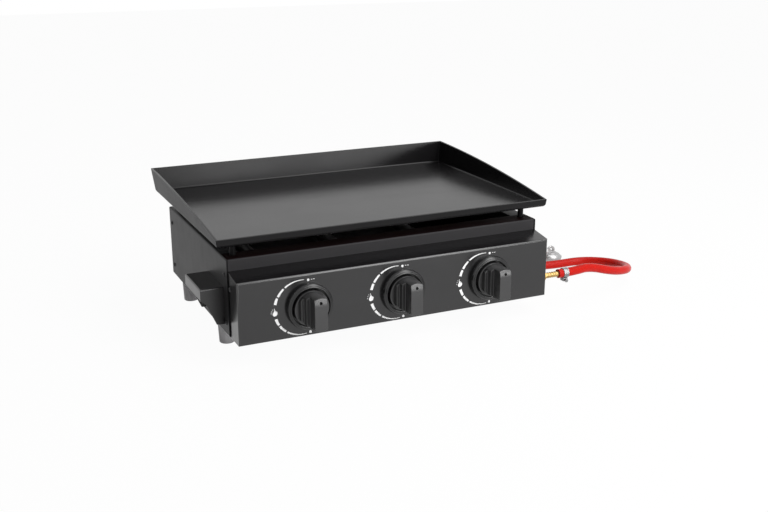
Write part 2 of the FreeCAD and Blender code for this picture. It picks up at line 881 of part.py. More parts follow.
def knob_bezel(label, across):
    """Makes the rounded ring that the knob turns in."""
    body = turned(
        label,
        [
            ("bezelHole", "0"),
            ("bezelRadius", "0"),
            ("bezelRadius", "bezelShoulder"),
            ("bezelMouth + bezelLip", "bezelDepth"),
            ("bezelMouth", "bezelDepth"),
            ("bezelMouth", "bezelFloor"),
            ("bezelHole", "bezelFloor"),
        ],
    )
    shoulder = size("bezelShoulder")
    round_edges(
        body,
        "bezelShoulder",
        lambda edge: abs(edge.BoundBox.ZMin - shoulder) < 0.01
        and edge.BoundBox.XMax > (size("bezelMouth") + size("bezelRadius")) / 2,
    )
    node(body, across, "boxFront", "knobLevel", "front")


def knob(label, across):
    """Makes the knob: a skirted disc with a grip that narrows in two steps to its front."""
    body = new_body(label)
    spin(
        body,
        [
            ("0", "knobLength"),
            ("0", "stemReach"),
            ("stemRadius", "stemReach"),
            ("stemRadius", "skirtBack + knobWeb"),
            ("knobRadius - skirtWall", "skirtBack + knobWeb"),
            ("knobRadius - skirtWall", "skirtBack"),
            ("knobRadius", "skirtBack"),
            ("knobRadius", "discFront - knobChamfer"),
            ("knobRadius - knobChamfer", "discFront"),
            ("gripRadius", "discFront"),
            ("gripRadius - gripDraft", "knobLength"),
        ],
    )
    wide = "knobRadius"
    steps = [
        ("gripWidth / 2", "gripFront"),
        ("gripWidth / 2 + gripStep", "gripFront + gripMiddle"),
        ("gripFoot", "knobLength - discFront"),
    ]
    for half, depth in steps:
        flanks = [
            box_corners(half, f"-({wide})", wide, wide),
            box_corners(f"-({wide})", f"-({wide})", f"-({half})", wide),
        ]
        pocket(body, sketch_on(body, "XY_Plane", flanks, lift="knobLength"), depth)
    front = size("knobLength")
    round_edges(
        body,
        "knobEdge",
        lambda edge: all(abs(corner.Z - front) < 0.01 for corner in edge.Vertexes),
    )
    node(body, across, "boxFront", "knobLevel", "front")


def valve_body(label, across):
    """Makes a valve's body: a bored barrel with its nozzle and the neck that sits on the manifold."""
    body = new_body(label)
    front = "-sheetGauge - capGauge"
    spin(
        body,
        [
            ("plugRadius + plugPlay", front),
            ("valveRadius", front),
            ("valveRadius", "-valveBack"),
            ("nozzleRadius", "-valveBack"),
            ("nozzleRadius", "-valveBack - nozzleLength"),
            ("jetRadius", "-valveBack - nozzleLength"),
            ("jetRadius", "-valveBack"),
            ("jetRadius", "-plugBack - sheetPlay"),
            ("plugRadius + plugPlay", "-plugBack - sheetPlay"),
        ],
    )
    inside = "(plugRadius + valveRadius) / 2"
    neck = sketch_on(body, "XZ_Plane", circles=[("0", "-pipeInset", "neckRadius")], lift=inside)
    pad(body, neck, f"knobHeight - pipeHeight - {inside}")
    saddle = sketch_on(
        body, "YZ_Plane", circles=[("pipeHeight - knobHeight", "-pipeInset", "pipeRadius")]
    )
    pocket(body, saddle, "valveRadius * 4", middle=True)
    node(body, across, "boxFront", "knobLevel", "front")


def valve_cap(label, across):
    """Makes the plate that closes a valve and screws it to the back of the control panel."""
    body = new_body(label)
    plate = box_corners("-capLength / 2", "-capHeight / 2", "capLength / 2", "capHeight / 2")
    holes = [("0", "0", "stemRadius + stemPlay")]
    holes += [(f"capScrewPitch / 2 * {side}", "0", "screwRadius") for side in (-1, 1)]
    sketch = sketch_on(body, "XY_Plane", [plate], holes, lift="-sheetGauge")
    pad(body, sketch, "capGauge", back=True)
    round_edges(body, "capHeight / 4", lambda edge: runs_along(edge, Z_AXIS))
    node(body, across, "boxFront", "knobLevel", "front")


def valve_plug(label, across):
    """Makes the plug that meters the gas, bored for the stem."""
    body = turned(
        label,
        [
            ("0", "-plugBack"),
            ("plugRadius", "-plugBack"),
            ("plugRadius", "-plugBack + plugLength"),
            ("stemRadius + stemPlay", "-plugBack + plugLength"),
            ("stemRadius + stemPlay", "-plugBack + plugFloor"),
            ("0", "-plugBack + plugFloor"),
        ],
    )
    node(body, across, "boxFront", "knobLevel", "front")


def valve_spring(label, across):
    """Makes the coil spring's outer shape, between the plug and the stem's collar."""
    inner = "stemRadius + springPlay"
    outer = "collarRadius - sheetPlay"
    low = "-plugBack + plugLength"
    high = "-collarFront - collarWidth"
    node(turned(label, box_corners(inner, low, outer, high)), across, "boxFront", "knobLevel", "front")


def valve_stem(label, across):
    """Makes the stem that carries the knob and slides in the plug."""
    body = turned(
        label,
        [
            ("0", "-stemTail"),
            ("stemRadius", "-stemTail"),
            ("stemRadius", "-collarFront - collarWidth"),
            ("collarRadius", "-collarFront - collarWidth"),
            ("collarRadius", "-collarFront"),
            ("stemRadius", "-collarFront"),
            ("stemRadius", "stemReach"),
            ("0", "stemReach"),
        ],
    )
    node(body, across, "boxFront", "knobLevel", "front")


def gas_jets():
    """Makes the three jets in the valves' nozzles."""
    jets = []
    for side in (-1, 0, 1):
        jet = turned(
            f"jet_{len(jets)}",
            [
                ("0", "-valveBack"),
                ("jetRadius", "-valveBack"),
                ("jetRadius", "-valveBack - nozzleLength"),
                ("jetRadius + jetRim", "-valveBack - nozzleLength"),
                ("jetRadius + jetRim", "-valveBack - nozzleLength - jetRimWidth"),
                ("jetRadius - jetRim", "-valveBack - nozzleLength - jetTip"),
                ("0", "-valveBack - nozzleLength - jetTip"),
            ],
        )
        place(jet, f"knobPitch * {side}", "boxFront", "knobLevel", "front")
        jets.append(jet)
    group("gas_jets", jets)


def valve_screws():
    """Makes the six screws that hold the valves, under the bezels."""
    screws = []
    for side in (-1, 0, 1):
        for hand in (-1, 1):
            screw = make_screw(f"valve_screw_{len(screws)}", "sheetGauge + capGauge + screwTail")
            across = f"knobPitch * {side} + capScrewPitch / 2 * {hand}"
            place(screw, across, "boxFront", "knobLevel", "front")
            screws.append(screw)
    group("valve_screws", screws)


def stations():
    """Makes the pieces of the three valves, from left to right."""
    for side, name in ((-1, "left"), (0, "centre"), (1, "right")):
        across = f"knobPitch * {side}"
        knob_bezel(f"knob_bezel_{name}", across)
        knob(f"knob_{name}", across)
        valve_cap(f"valve_cap_{name}", across)
        valve_body(f"valve_body_{name}", across)
        valve_plug(f"valve_plug_{name}", across)
        valve_spring(f"valve_spring_{name}", across)
        valve_stem(f"valve_stem_{name}", across)
        burner(f"burner_{name}", across)
        igniter(f"igniter_{name}", across)
    gas_jets()
    valve_screws()


# Burners and igniters


def burner(label, across):
    """Makes a burner tube: a flared mouth, a narrow throat and a long tube with flame ports."""
    body = new_body(label)
    wall = "burnerWall"
    outer = [
        ("burnerMouth", "-mouthReach"),
        ("burnerMouth", "mouthEnd"),
        ("burnerThroat", "throatStart"),
        ("burnerThroat", "throatEnd"),
        ("burnerRadius", "tubeStart"),
        ("burnerRadius", "burnerTip"),
        ("boltRadius", "burnerTip"),
        ("boltRadius", "burnerTip + railSetback"),
        ("0", "burnerTip + railSetback"),
    ]
    inner = [
        ("0", f"burnerTip - {wall}"),
        (f"burnerRadius - {wall}", f"burnerTip - {wall}"),
        (f"burnerRadius - {wall}", "tubeStart"),
        (f"burnerThroat - {wall}", "throatEnd"),
        (f"burnerThroat - {wall}", "throatStart"),
        (f"burnerMouth - {wall}", "mouthEnd"),
        (f"burnerMouth - {wall}", "-mouthReach"),
    ]
    spin(body, outer + inner)
    port = box_corners("-portWidth / 2", "portStart", "portWidth / 2", "portStart + portLength")
    sketch = sketch_on(body, "XZ_Plane", [port], lift="-burnerRadius - 1")
    cut = pocket(body, sketch, "burnerWall + 2")
    repeat(body, cut, "Z_Axis", "portPitch", 8)
    node(body, across, "bodyFront", "knobLevel", "back")


def burner_rail():
    """Makes the angle on the base pan that carries the burners' far ends."""
    body = new_body("burner_rail")
    section = [
        ("0", "0"),
        ("-trayDepth / 2", "0"),
        ("-trayDepth / 2", "sheetGauge"),
        ("-sheetGauge", "sheetGauge"),
        ("-sheetGauge", "railHeight"),
        ("0", "railHeight"),
    ]
    pad(body, sketch_on(body, "YZ_Plane", [section]), "bodyWidth - sideFlange * 2", middle=True)
    up = "knobHeight - sheetGauge - panGauge"
    holes = [(f"knobPitch * {side}", up, "boltRadius + holePlay") for side in (-1, 0, 1)]
    pocket(body, sketch_on(body, "XZ_Plane", circles=holes), "sheetGauge * 4", middle=True)
    along = "bodyFront + burnerTip + railSetback - nutRoom"
    node(body, "0", along, "footHeight + sheetGauge + panGauge")


def igniter(label, across):
    """Makes an igniter: a ceramic sleeve in the front wall with its steel electrode."""
    body = turned(
        label,
        [
            ("0", "-sleeveBack"),
            ("electrodeRadius", "-sleeveBack"),
            ("electrodeRadius", "sheetGauge"),
            ("electrodeRadius + sleeveRim", "sheetGauge"),
            ("electrodeRadius + sleeveRim", "sheetGauge + sleeveRimWidth"),
            ("electrodeRadius", "sheetGauge + sleeveRimWidth"),
            ("electrodeRadius", "electrodeReach"),
            ("electrodeRadius / 3", "electrodeReach + sleeveCone"),
            ("electrodeRadius / 3", "electrodeReach + electrodeTip"),
            ("0", "electrodeReach + electrodeTip"),
        ],
    )
    node(body, f"{across} + electrodeOffset", "bodyFront", "knobLevel", "back")


# Gas manifold, hose tail, hose and regulator


def manifold():
    """Makes the pipe that feeds the valves, and the plug in its closed end."""
    pipe = new_body("manifold_pipe")
    ring = sketch_on(
        pipe,
        "XY_Plane",
        circles=[("0", "0", "pipeRadius"), ("0", "0", "pipeRadius - pipeWall")],
        lift="-knobPitch - valveRadius * 2",
    )
    pad(pipe, ring, "knobPitch + valveRadius * 2 + pipeEnd")
    node(pipe, "0", "pipeLine", "pipeLevel", "right")
    plug = turned(
        "manifold_plug",
        [
            ("0", "0"),
            ("pipeRadius - pipeWall", "0"),
            ("pipeRadius - pipeWall", "capSink"),
            ("pipeRadius + capRim", "capSink"),
            ("pipeRadius + capRim", "capSink + capHead"),
            ("0", "capSink + capHead"),
        ],
    )
    node(plug, "-knobPitch - valveRadius * 2 + capSink", "pipeLine", "pipeLevel", "left")


def hose_tail():
    """Makes the brass inlet: a hexagon on the manifold's end and the barb that the hose grips."""
    body = new_body("hose_tail")
    pad(body, sketch_on(body, "XY_Plane", [hexagon("tailHexRadius")]), "tailHexWidth")
    shaft = [
        ("0", "tailHexWidth"),
        ("tailRadius + shoulderRise", "tailHexWidth"),
        ("tailRadius + shoulderRise", "tailHexWidth + shoulderWidth"),
        ("tailRadius", "tailHexWidth + shoulderWidth"),
        ("tailRadius", "tailHexWidth + tailLength + tailGrip - shoulderWidth"),
        ("tailRadius - tailTip", "tailHexWidth + tailLength + tailGrip"),
        ("0", "tailHexWidth + tailLength + tailGrip"),
    ]
    spin(body, shaft)
    for step in range(1, 6):
        level = f"tailHexWidth + shoulderWidth + ribPitch * {step}"
        ring = box_corners(
            "tailRadius - ribRise", level, "tailRadius + ribRise", f"{level} + ribWidth"
        )
        sketch = sketch_on(body, "XZ_Plane", [ring])
        feature = body.newObject("PartDesign::Revolution", f"hose_tail_ring_{step}")
        feature.Profile = (sketch, [""])
        feature.ReferenceAxis = (sketch, ["V_Axis"])
        feature.Angle = 360
    node(body, "pipeEnd", "pipeLine", "pipeLevel", "right")


# The hose's route, chosen by hand: out of the inlet, round a loop on the right and along the
# ground behind the control box to the regulator. Y is measured from the plate's front edge.
ROUTE = [
    (318.5, -12, 59.5),
    (354, -12, 59.5),
    (391, -4, 59.5),
    (452, 3, 40.5),
    (504, 25, 30),
    (534, 70, 20),
    (530, 124, 14),
    (492, 166, 10.5),
    (426, 176, 8.4),
    (375, 190, 8.4),
    (326, 222, 8.4),
    (299, 270, 8.4),
    (302, 322, 8.4),
    (334, 363, 8.4),
    (384, 378, 8.4),
    (433, 361, 9.2),
    (463, 319, 12),
    (463, 260, 12),
]


def hose_path(points):
    """Joins straight runs with tangent arcs as large as the runs allow, and prints the radii."""
    edges = []
    radii = []
    last = points[0]
    for before, corner, after in zip(points, points[1:], points[2:]):
        inward = (before - corner).normalize()
        outward = (after - corner).normalize()
        reach = size("hoseBend") * min((before - corner).Length, (after - corner).Length)
        half_turn = (math.pi - inward.getAngle(outward)) / 2
        radii.append(round(reach / math.tan(half_turn), 1))
        start = corner + inward * reach
        end = corner + outward * reach
        toward = (inward + outward).normalize()
        drop = reach * math.tan(half_turn)
        rise = radii[-1] / math.cos(half_turn) - radii[-1]
        middle = corner + toward * min(rise, drop)
        edges.append(Part.LineSegment(last, start).toShape())
        edges.append(Part.Arc(start, middle, end).toShape())
        last = end
    edges.append(Part.LineSegment(last, points[-1]).toShape())
    print("hose arc radii", radii)
    return Part.Wire(edges)


def gas_hose():
    """Makes the free hose as a round tube along its route."""
    points = [FreeCAD.Vector(across, along + size("plateFront"), up) for across, along, up in ROUTE]
    path = hose_path(points)
    ring = Part.Circle(points[0], points[1] - points[0], size("hoseRadius"))
    solid = path.makePipeShell([Part.Wire(ring.toShape())], True, False)
    expected = math.pi * size("hoseRadius") ** 2 * path.Length
    print("hose length", round(path.Length, 1), "volume ratio", round(solid.Volume / expected, 4))
    item = doc.addObject("Part::Feature", "gas_hose")
    item.Label = "gas_hose"
    item.Shape = solid
    NODES.append(item)


def hose_clamp(label, across, along, up, pointing):
    """Makes a worm-drive clamp: a band, the housing on it and the screw through the housing."""
    body = new_body(label)
    outer = "hoseRadius + clampBand"
    half = "clampWidth / 2"
    spin(body, box_corners("hoseRadius", f"-{half}", outer, half))
    wide, deep = "housingWidth / 2", "housingLength / 2"
    housing = box_corners(f"-{wide}", f"-{deep}", wide, deep)
    base = sketch_on(body, "XZ_Plane", [housing], lift="hoseRadius + clampBand / 2")
    pad(body, base, "housingRise")
    worm = [(f"-({outer} + wormRise)", "0", "wormRadius")]
    screw = sketch_on(body, "YZ_Plane", circles=worm, lift="-wormHead")
    pad(body, screw, "wormLength")
    node(body, across, along, up, pointing)


def regulator_body():
    """Makes the regulator: a low dome with its hose arm, its gas inlet neck and a small eye."""
    body = new_body("regulator_body")
    spin(
        body,
        [
            ("0", "sheetPlay"),
            ("dialRadius - dialChamfer", "sheetPlay"),
            ("dialRadius", "sheetPlay + dialChamfer"),
            ("dialRadius", "dialEdge"),
            ("dialRadius - domeStep", "dialEdge + domeStep"),
            ("bossRadius", "bossHeight - bossDrop"),
            ("bossRadius", "bossHeight"),
            ("0", "bossHeight"),
        ],
    )
    arm = sketch_on(body, "XZ_Plane", circles=[("0", "tailLevel", "tailRadius + shoulderRise")])
    pad(body, arm, "armLength", back=True)
    grip = sketch_on(body, "XZ_Plane", circles=[("0", "tailLevel", "tailRadius")])
    pad(body, grip, "armLength + tailGrip", back=True)
    rim = "-bossRadius"
    neck = sketch_on(body, "YZ_Plane", circles=[("0", "regulatorLevel", "noseRadius")], lift=rim)
    pad(body, neck, "nutSeat + noseReach - bossRadius", back=True)
    around = [("0", "regulatorLevel", "noseRadius + neckRise")]
    shoulder = sketch_on(body, "YZ_Plane", circles=around, lift=rim)
    pad(body, shoulder, "dialRadius + neckReach - bossRadius", back=True)
    seat = [("0", "regulatorLevel", "nutBore - nosePlay")]
    nose = sketch_on(body, "YZ_Plane", circles=seat, lift="-nutSeat - noseReach")
    pad(body, nose, "noseReach - nutCollar / 2 - sheetPlay")
    eye = [("0", "bossHeight + eyeSink", "eyeRadius"), ("0", "bossHeight + eyeSink", "eyeHole")]
    pad(body, sketch_on(body, "XZ_Plane", circles=eye), "eyeGauge", middle=True)
    node(body, "regulatorAcross", "plateFront + regulatorAlong", "0")


def regulator_nut():
    """Makes the union nut, whose collar runs on the neck behind the nose that holds it."""
    body = new_body("regulator_nut")
    collar = "nutCollar / 2"
    thread = "nutSeat + nutRoom"
    mouth = f"{thread} + nutThread"
    spin(
        body,
        [
            ("noseRadius + stemPlay", f"nutSeat - {collar}"),
            ("nutRadius - nutChamfer", f"nutSeat - {collar}"),
            ("nutRadius", f"nutSeat - {collar} + nutChamfer"),
            ("nutRadius", f"{mouth} - nutChamfer"),
            ("nutRadius - nutChamfer", mouth),
            ("nutBore", mouth),
            ("nutBore", thread),
            ("nutBore + nosePlay", thread),
            ("nutBore + nosePlay", f"nutSeat + {collar}"),
            ("noseRadius + stemPlay", f"nutSeat + {collar}"),
        ],
    )
    along = "plateFront + regulatorAlong"
    node(body, "regulatorAcross", along, "regulatorLevel", "left")


# Carry handles


def side_handle(label, side):
    """Makes a carry handle: a folded cup, open below, with a lip for the fingers."""
    body = new_body(label)
    end_face = [
        ("0", "0"),
        ("handleToe", "handleToeLevel"),
        ("handleKnee", "handleHeight - handleLip - handleKneeDrop"),
        ("handleReach", "handleHeight - handleLip"),
        ("handleReach", "handleHeight"),
        ("0", "handleHeight"),
    ]
    pad(body, sketch_on(body, "XZ_Plane", [end_face]), "handleWidth", middle=True)
    top = size("handleHeight")
    round_edges(
        body,
        "handleBend",
        lambda edge: all(abs(corner.Z - top) < 0.01 for corner in edge.Vertexes)
        and max(corner.X for corner in edge.Vertexes) > 1,
    )
    hollow(body, "sheetGauge", lambda face: face.normalAt(0, 0).z < -0.3)
    holes = [
        (f"handleBoltPitch / 2 * {hand}", "handleBoltLevel", "boltRadius + holePlay")
        for hand in (-1, 1)
    ]
    pocket(body, sketch_on(body, "YZ_Plane", circles=holes), "sheetGauge * 4", middle=True)
    node(body, f"bodyWidth / 2 * {side}", "bodyFront + handleSetback", "footHeight + handleLevel")
    if side < 0:
        body.Placement = FreeCAD.Placement(body.Placement.Base, FreeCAD.Rotation(Z_AXIS, 180))


def handle_bolts():
    """Makes the four bolts inside the handles."""
    bolts = []
    for side, pointing in ((-1, "left"), (1, "right")):
        for hand in (-1, 1):
            bolt = make_bolt(f"handle_bolt_{len(bolts)}", "sheetGauge * 2 + boltTail")
            across = f"(bodyWidth / 2 + sheetGauge) * {side}"
            along = f"bodyFront + handleSetback + handleBoltPitch / 2 * {hand}"
            up = "footHeight + handleLevel + handleBoltLevel"
            place(bolt, across, along, up, pointing)
            bolts.append(bolt)
    group("handle_bolts", bolts)


def check_and_export():
    """Stops on a failed object, then writes each sub-part to its own file."""
    doc.recompute()
    failed = [item.Label for item in doc.Objects if "Invalid" in item.State or "Error" in item.State]
    if failed:
        raise RuntimeError("failed: " + ", ".join(failed))
    os.makedirs("parts", exist_ok=True)
    for item in NODES:
        if item.Shape.isNull() or not item.Shape.isValid() or not item.Shape.Solids:
            raise RuntimeError("no valid solid: " + item.Label)
        item.Shape.exportStep(f"parts/{item.Label}.step")
        print(item.Label, len(item.Shape.Solids), round(item.Shape.Volume, 1))


fill_sheet()
griddle_plate()
plate_studs()
side_panel("side_panel_left", -1)
side_panel("side_panel_right", 1)
front_wall()
back_panel()
base_pan()
corner_screws()
feet()
control_box()
box_brackets()
stations()
burner_rail()
manifold()
hose_tail()
gas_hose()
hose_clamp("hose_clamp_inlet", "hoseStart + clampSetback", "pipeLine", "pipeLevel", "hanging")
hose_clamp("hose_clamp_regulator", "regulatorAcross", "regulatorHose + clampSetback", "tailLevel", "back")
regulator_body()
regulator_nut()
side_handle("side_handle_left", -1)
side_handle("side_handle_right", 1)
handle_bolts()
check_and_export()
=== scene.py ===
"""Looks of an outdoor gas griddle station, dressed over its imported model.

Lengths are metres in the model's own frame: X runs along the control panel, Y from the knobs to
the back and Z up, and the origin is on the ground under the middle of the station.
"""

from __future__ import annotations

import logging
import math
from contextlib import contextmanager
from dataclasses import dataclass
from enum import Enum
from typing import Any, Callable, Iterator, Sequence

import bmesh
import bpy
from mathutils import Matrix, Vector

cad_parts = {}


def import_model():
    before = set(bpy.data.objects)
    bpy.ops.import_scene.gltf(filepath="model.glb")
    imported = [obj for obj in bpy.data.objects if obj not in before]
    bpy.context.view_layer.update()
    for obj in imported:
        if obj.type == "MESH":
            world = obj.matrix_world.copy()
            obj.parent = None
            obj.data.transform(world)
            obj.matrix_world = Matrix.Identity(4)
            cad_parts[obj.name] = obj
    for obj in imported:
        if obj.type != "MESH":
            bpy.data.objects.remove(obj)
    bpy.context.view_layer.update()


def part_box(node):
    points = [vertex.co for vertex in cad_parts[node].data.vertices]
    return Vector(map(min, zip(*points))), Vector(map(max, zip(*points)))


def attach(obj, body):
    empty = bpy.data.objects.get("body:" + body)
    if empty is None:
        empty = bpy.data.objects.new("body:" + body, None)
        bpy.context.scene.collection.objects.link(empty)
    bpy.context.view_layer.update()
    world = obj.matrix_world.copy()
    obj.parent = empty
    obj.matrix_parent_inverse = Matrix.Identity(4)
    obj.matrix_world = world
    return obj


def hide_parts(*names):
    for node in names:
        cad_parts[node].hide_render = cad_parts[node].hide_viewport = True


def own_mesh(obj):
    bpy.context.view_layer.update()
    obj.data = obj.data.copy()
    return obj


LOG = logging.getLogger("griddle_station")

MM = 0.001
X_AXIS = Vector((1.0, 0.0, 0.0))
Y_AXIS = Vector((0.0, 1.0, 0.0))
Z_AXIS = Vector((0.0, 0.0, 1.0))

# Bodies that pieces ride on
STATION = "station"
PLATE = "plate"
UNION_NUT = "union_nut"

# The three stations along the control panel
SIDES = ("left", "centre", "right")

# How near points are merged, in a new mesh and in a node's, and how flat its faces are joined
MERGE_DISTANCE = 1e-7
NODE_MERGE_DISTANCE = 1e-6
FLAT_DEGREES = 0.3

# How far a cutter stands past what it cuts
CLEAR = 1.0 * MM

# The backdrop's white, with its alpha
WHITE = (1.0, 1.0, 1.0, 1.0)

Point = tuple[float, float]
Triple = tuple[float, float, float]
Test = Callable[[Vector, Vector], bool]


# Places read from the model


def low(node: str) -> Vector:
    """Gives the lowest corner of a node's box."""
    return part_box(node)[0]


def high(node: str) -> Vector:
    """Gives the highest corner of a node's box."""
    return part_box(node)[1]


def middle(node: str) -> Vector:
    """Gives the middle of a node's box."""
    return (low(node) + high(node)) / 2


def shift(across: float, along: float, rise: float) -> Matrix:
    """Gives the transform that moves a piece without turning it."""
    return Matrix.Translation((across, along, rise))


def facing(axis: Vector, place: Vector) -> Matrix:
    """Gives the transform that turns a piece's own Z to an axis and puts it at a place."""
    return Matrix.Translation(place) @ axis.to_track_quat("Z", "Y").to_matrix().to_4x4()


# The bench: primitives shaped in edit mode


class Meeting(Enum):
    """How a piece takes up another that crosses it."""

    WELD = "UNION"
    CUT = "DIFFERENCE"
    SHARE = "INTERSECT"


class Workpiece:
    """A mesh on the bench, shaped with edit-mode operators and applied modifiers."""

    def __init__(self, piece: bpy.types.Object, name: str) -> None:
        """Takes up an object under its new name."""
        self.piece = piece
        self.rename(name)

    @classmethod
    def added(cls, name: str, scale: Sequence[float] = (1.0, 1.0, 1.0)) -> "Workpiece":
        """Takes up the primitive that has just been added.

        Args:
            name: the piece's name.
            scale: how much it is stretched along each axis.

        Returns:
            The piece, with its place, turn and scale in its mesh.
        """
        made = cls(bpy.context.active_object, name)
        made.piece.scale = scale
        made.settle()
        return made

    @classmethod
    def cylinder(
        cls, name: str, radius: float, low_z: float, high_z: float, sides: int
    ) -> "Workpiece":
        """Adds an upright cylinder about the origin.

        Args:
            name: the piece's name.
            radius: its radius.
            low_z: the height of its lower end.
            high_z: the height of its upper end.
            sides: how many sides it has.

        Returns:
            The cylinder.
        """
        bpy.ops.object.select_all(action="DESELECT")
        bpy.ops.mesh.primitive_cylinder_add(
            vertices=sides,
            radius=radius,
            depth=high_z - low_z,
            location=(0.0, 0.0, (low_z + high_z) / 2),
        )
        return cls.added(name)

    @classmethod
    def block(cls, name: str, corner: Sequence[float], far: Sequence[float]) -> "Workpiece":
        """Adds a block.

        Args:
            name: the piece's name.
            corner: its lowest corner.
            far: its highest corner.

        Returns:
            The block.
        """
        near, end = Vector(corner), Vector(far)
        bpy.ops.object.select_all(action="DESELECT")
        bpy.ops.mesh.primitive_cube_add(size=1.0, location=(near + end) / 2)
        return cls.added(name, end - near)

    @classmethod
    def ring(cls, name: str, radius: float, height: float, sides: int) -> "Workpiece":
        """Adds an open circle of edges about the Z axis.

        Args:
            name: the piece's name.
            radius: its radius.
            height: its height.
            sides: how many edges it has.

        Returns:
            The circle.
        """
        bpy.ops.object.select_all(action="DESELECT")
        bpy.ops.mesh.primitive_circle_add(
            vertices=sides, radius=radius, location=(0.0, 0.0, height)
        )
        return cls.added(name)

    @classmethod
    def turned(cls, name: str, profile: Sequence[Point], sides: int) -> "Workpiece":
        """Draws a circle up its axis, ring by ring, as on a lathe.

        Args:
            name: the piece's name.
            profile: radius and height of each ring. A profile that ends where it starts makes a
                ring, and any other is closed with a face at each end.
            sides: how many sides it has.

        Returns:
            The turned piece.
        """
        made = cls.ring(name, profile[0][0], profile[0][1], sides)
        with made.shaping():
            bpy.ops.mesh.select_all(action="SELECT")
            for (radius, height), (wider, higher) in zip(profile, profile[1:]):
                bpy.ops.mesh.extrude_edges_move(
                    TRANSFORM_OT_translate={"value": (0.0, 0.0, higher - height)}
                )
                grow = wider / radius
                bpy.ops.transform.resize(
                    value=(grow, grow, 1.0), center_override=(0.0, 0.0, higher)
                )
            made.close()
        return made

    @classmethod
    def coil(
        cls, name: str, radius: float, wire: float, length: float, turns: int, steps: int = 20
    ) -> "Workpiece":
        """Winds a wire round the Z axis from the origin up.

        Args:
            name: the piece's name.
            radius: from the axis to the middle of the wire.
            wire: the wire's own radius.
            length: the coil's whole length.
            turns: how many turns it has.
            steps: how many steps make a turn.

        Returns:
            The coil.
        """
        bpy.ops.object.select_all(action="DESELECT")
        bpy.ops.mesh.primitive_circle_add(
            vertices=8,
            radius=wire,
            location=(radius, 0.0, wire),
            rotation=(math.pi / 2, 0.0, 0.0),
        )
        made = cls.added(name)
        made.modify(
            "SCREW",
            axis="Z",
            iterations=turns,
            screw_offset=(length - wire * 2) / turns,
            steps=steps,
            render_steps=steps,
            use_merge_vertices=False,
        )
        with made.shaping():
            made.close()
        return made

    @classmethod
    def printed(
        cls, name: str, outlines: Sequence[Sequence[Point]], gauge: float
    ) -> "Workpiece":
        """Fills closed outlines in the XY plane as a thin layer on the Z side of it.

        Args:
            name: the piece's name.
            outlines: the corners of each outline.
            gauge: the layer's thickness.

        Returns:
            The layer.
        """
        curve = bpy.data.curves.new(name, "CURVE")
        curve.dimensions = "2D"
        curve.fill_mode = "BOTH"
        curve.extrude = gauge / 2
        for outline in outlines:
            line = curve.splines.new("POLY")
            line.points.add(len(outline) - 1)
            for point, (across, up) in zip(line.points, outline):
                point.co = (across, up, 0.0, 1.0)
            line.use_cyclic_u = True
        piece = bpy.data.objects.new(name, curve)
        bpy.context.scene.collection.objects.link(piece)
        cls(piece, name).hold()
        bpy.ops.object.convert(target="MESH")
        made = cls.added(name)
        made.move(shift(0.0, 0.0, gauge / 2))
        with made.shaping():
            made.clean()
        return made

    @classmethod
    def from_node(cls, name: str, node: str) -> "Workpiece":
        """Copies a node's mesh, with its loose triangles merged into whole faces.

        Args:
            name: the copy's name.
            node: the node.

        Returns:
            The copy.
        """
        source = bpy.data.objects[node]
        copy = bpy.data.objects.new(name, source.data.copy())
        bpy.context.scene.collection.objects.link(copy)
        made = cls(copy, name)
        with made.shaping():
            bpy.ops.mesh.select_all(action="SELECT")
            bpy.ops.mesh.remove_doubles(threshold=NODE_MERGE_DISTANCE)
            bpy.ops.mesh.dissolve_limited(angle_limit=math.radians(FLAT_DEGREES))
        return made

    @contextmanager
    def shaping(self) -> Iterator[None]:
        """Opens the piece in edit mode with nothing selected, and closes it afterwards."""
        self.hold()
        bpy.ops.object.mode_set(mode="EDIT")
        bpy.ops.mesh.select_all(action="DESELECT")
        yield
        bpy.ops.object.mode_set(mode="OBJECT")

    def rename(self, name: str) -> None:
        """Names the piece and its mesh."""
        self.piece.name = name
        self.piece.data.name = name

    def hold(self) -> None:
        """Makes this the only selected and the active piece."""
        bpy.ops.object.select_all(action="DESELECT")
        self.piece.select_set(True)
        bpy.context.view_layer.objects.active = self.piece

    def settle(self) -> None:
        """Puts the piece's place, turn and scale into its mesh."""
        self.hold()
        bpy.ops.object.transform_apply(location=True, rotation=True, scale=True)

    def move(self, transform: Matrix) -> None:
        """Moves the piece, which then lies at the origin with its new place in its mesh."""
        self.piece.matrix_world = transform
        self.settle()

    def select_faces(self, test: Test) -> None:
        """Selects the faces that pass a test, in edit mode.

        Args:
            test: takes a face's middle and its normal.
        """
        bpy.ops.mesh.select_mode(type="FACE")
        bpy.ops.mesh.select_all(action="DESELECT")
        mesh = bmesh.from_edit_mesh(self.piece.data)
        for face in mesh.faces:
            face.select_set(test(face.calc_center_median(), face.normal))
        bmesh.update_edit_mesh(self.piece.data)

    def clean(self) -> None:
        """Merges doubled points and turns every face outwards, in edit mode."""
        bpy.ops.mesh.select_all(action="SELECT")
        bpy.ops.mesh.remove_doubles(threshold=MERGE_DISTANCE)
        bpy.ops.mesh.normals_make_consistent(inside=False)

    def close(self) -> None:
        """Cleans the mesh and fills its open ends, in edit mode."""
        self.clean()
        bpy.ops.mesh.fill_holes(sides=0)
        bpy.ops.mesh.normals_make_consistent(inside=False)

    def sink(self, test: Test, margin: float, depth: float) -> None:
        """Sinks each face that passes a test by itself, inside a margin, in edit mode."""
        self.select_faces(test)
        bpy.ops.mesh.inset(thickness=margin, depth=-depth, use_individual=True)

    def modify(self, kind: str, **settings: Any) -> None:
        """Adds a modifier and applies it.

        Args:
            kind: the modifier's type.
            settings: its properties.
        """
        self.hold()
        modifier = self.piece.modifiers.new(kind.lower(), kind)
        for word, value in settings.items():
            setattr(modifier, word, value)
        bpy.ops.object.modifier_apply(modifier=modifier.name)

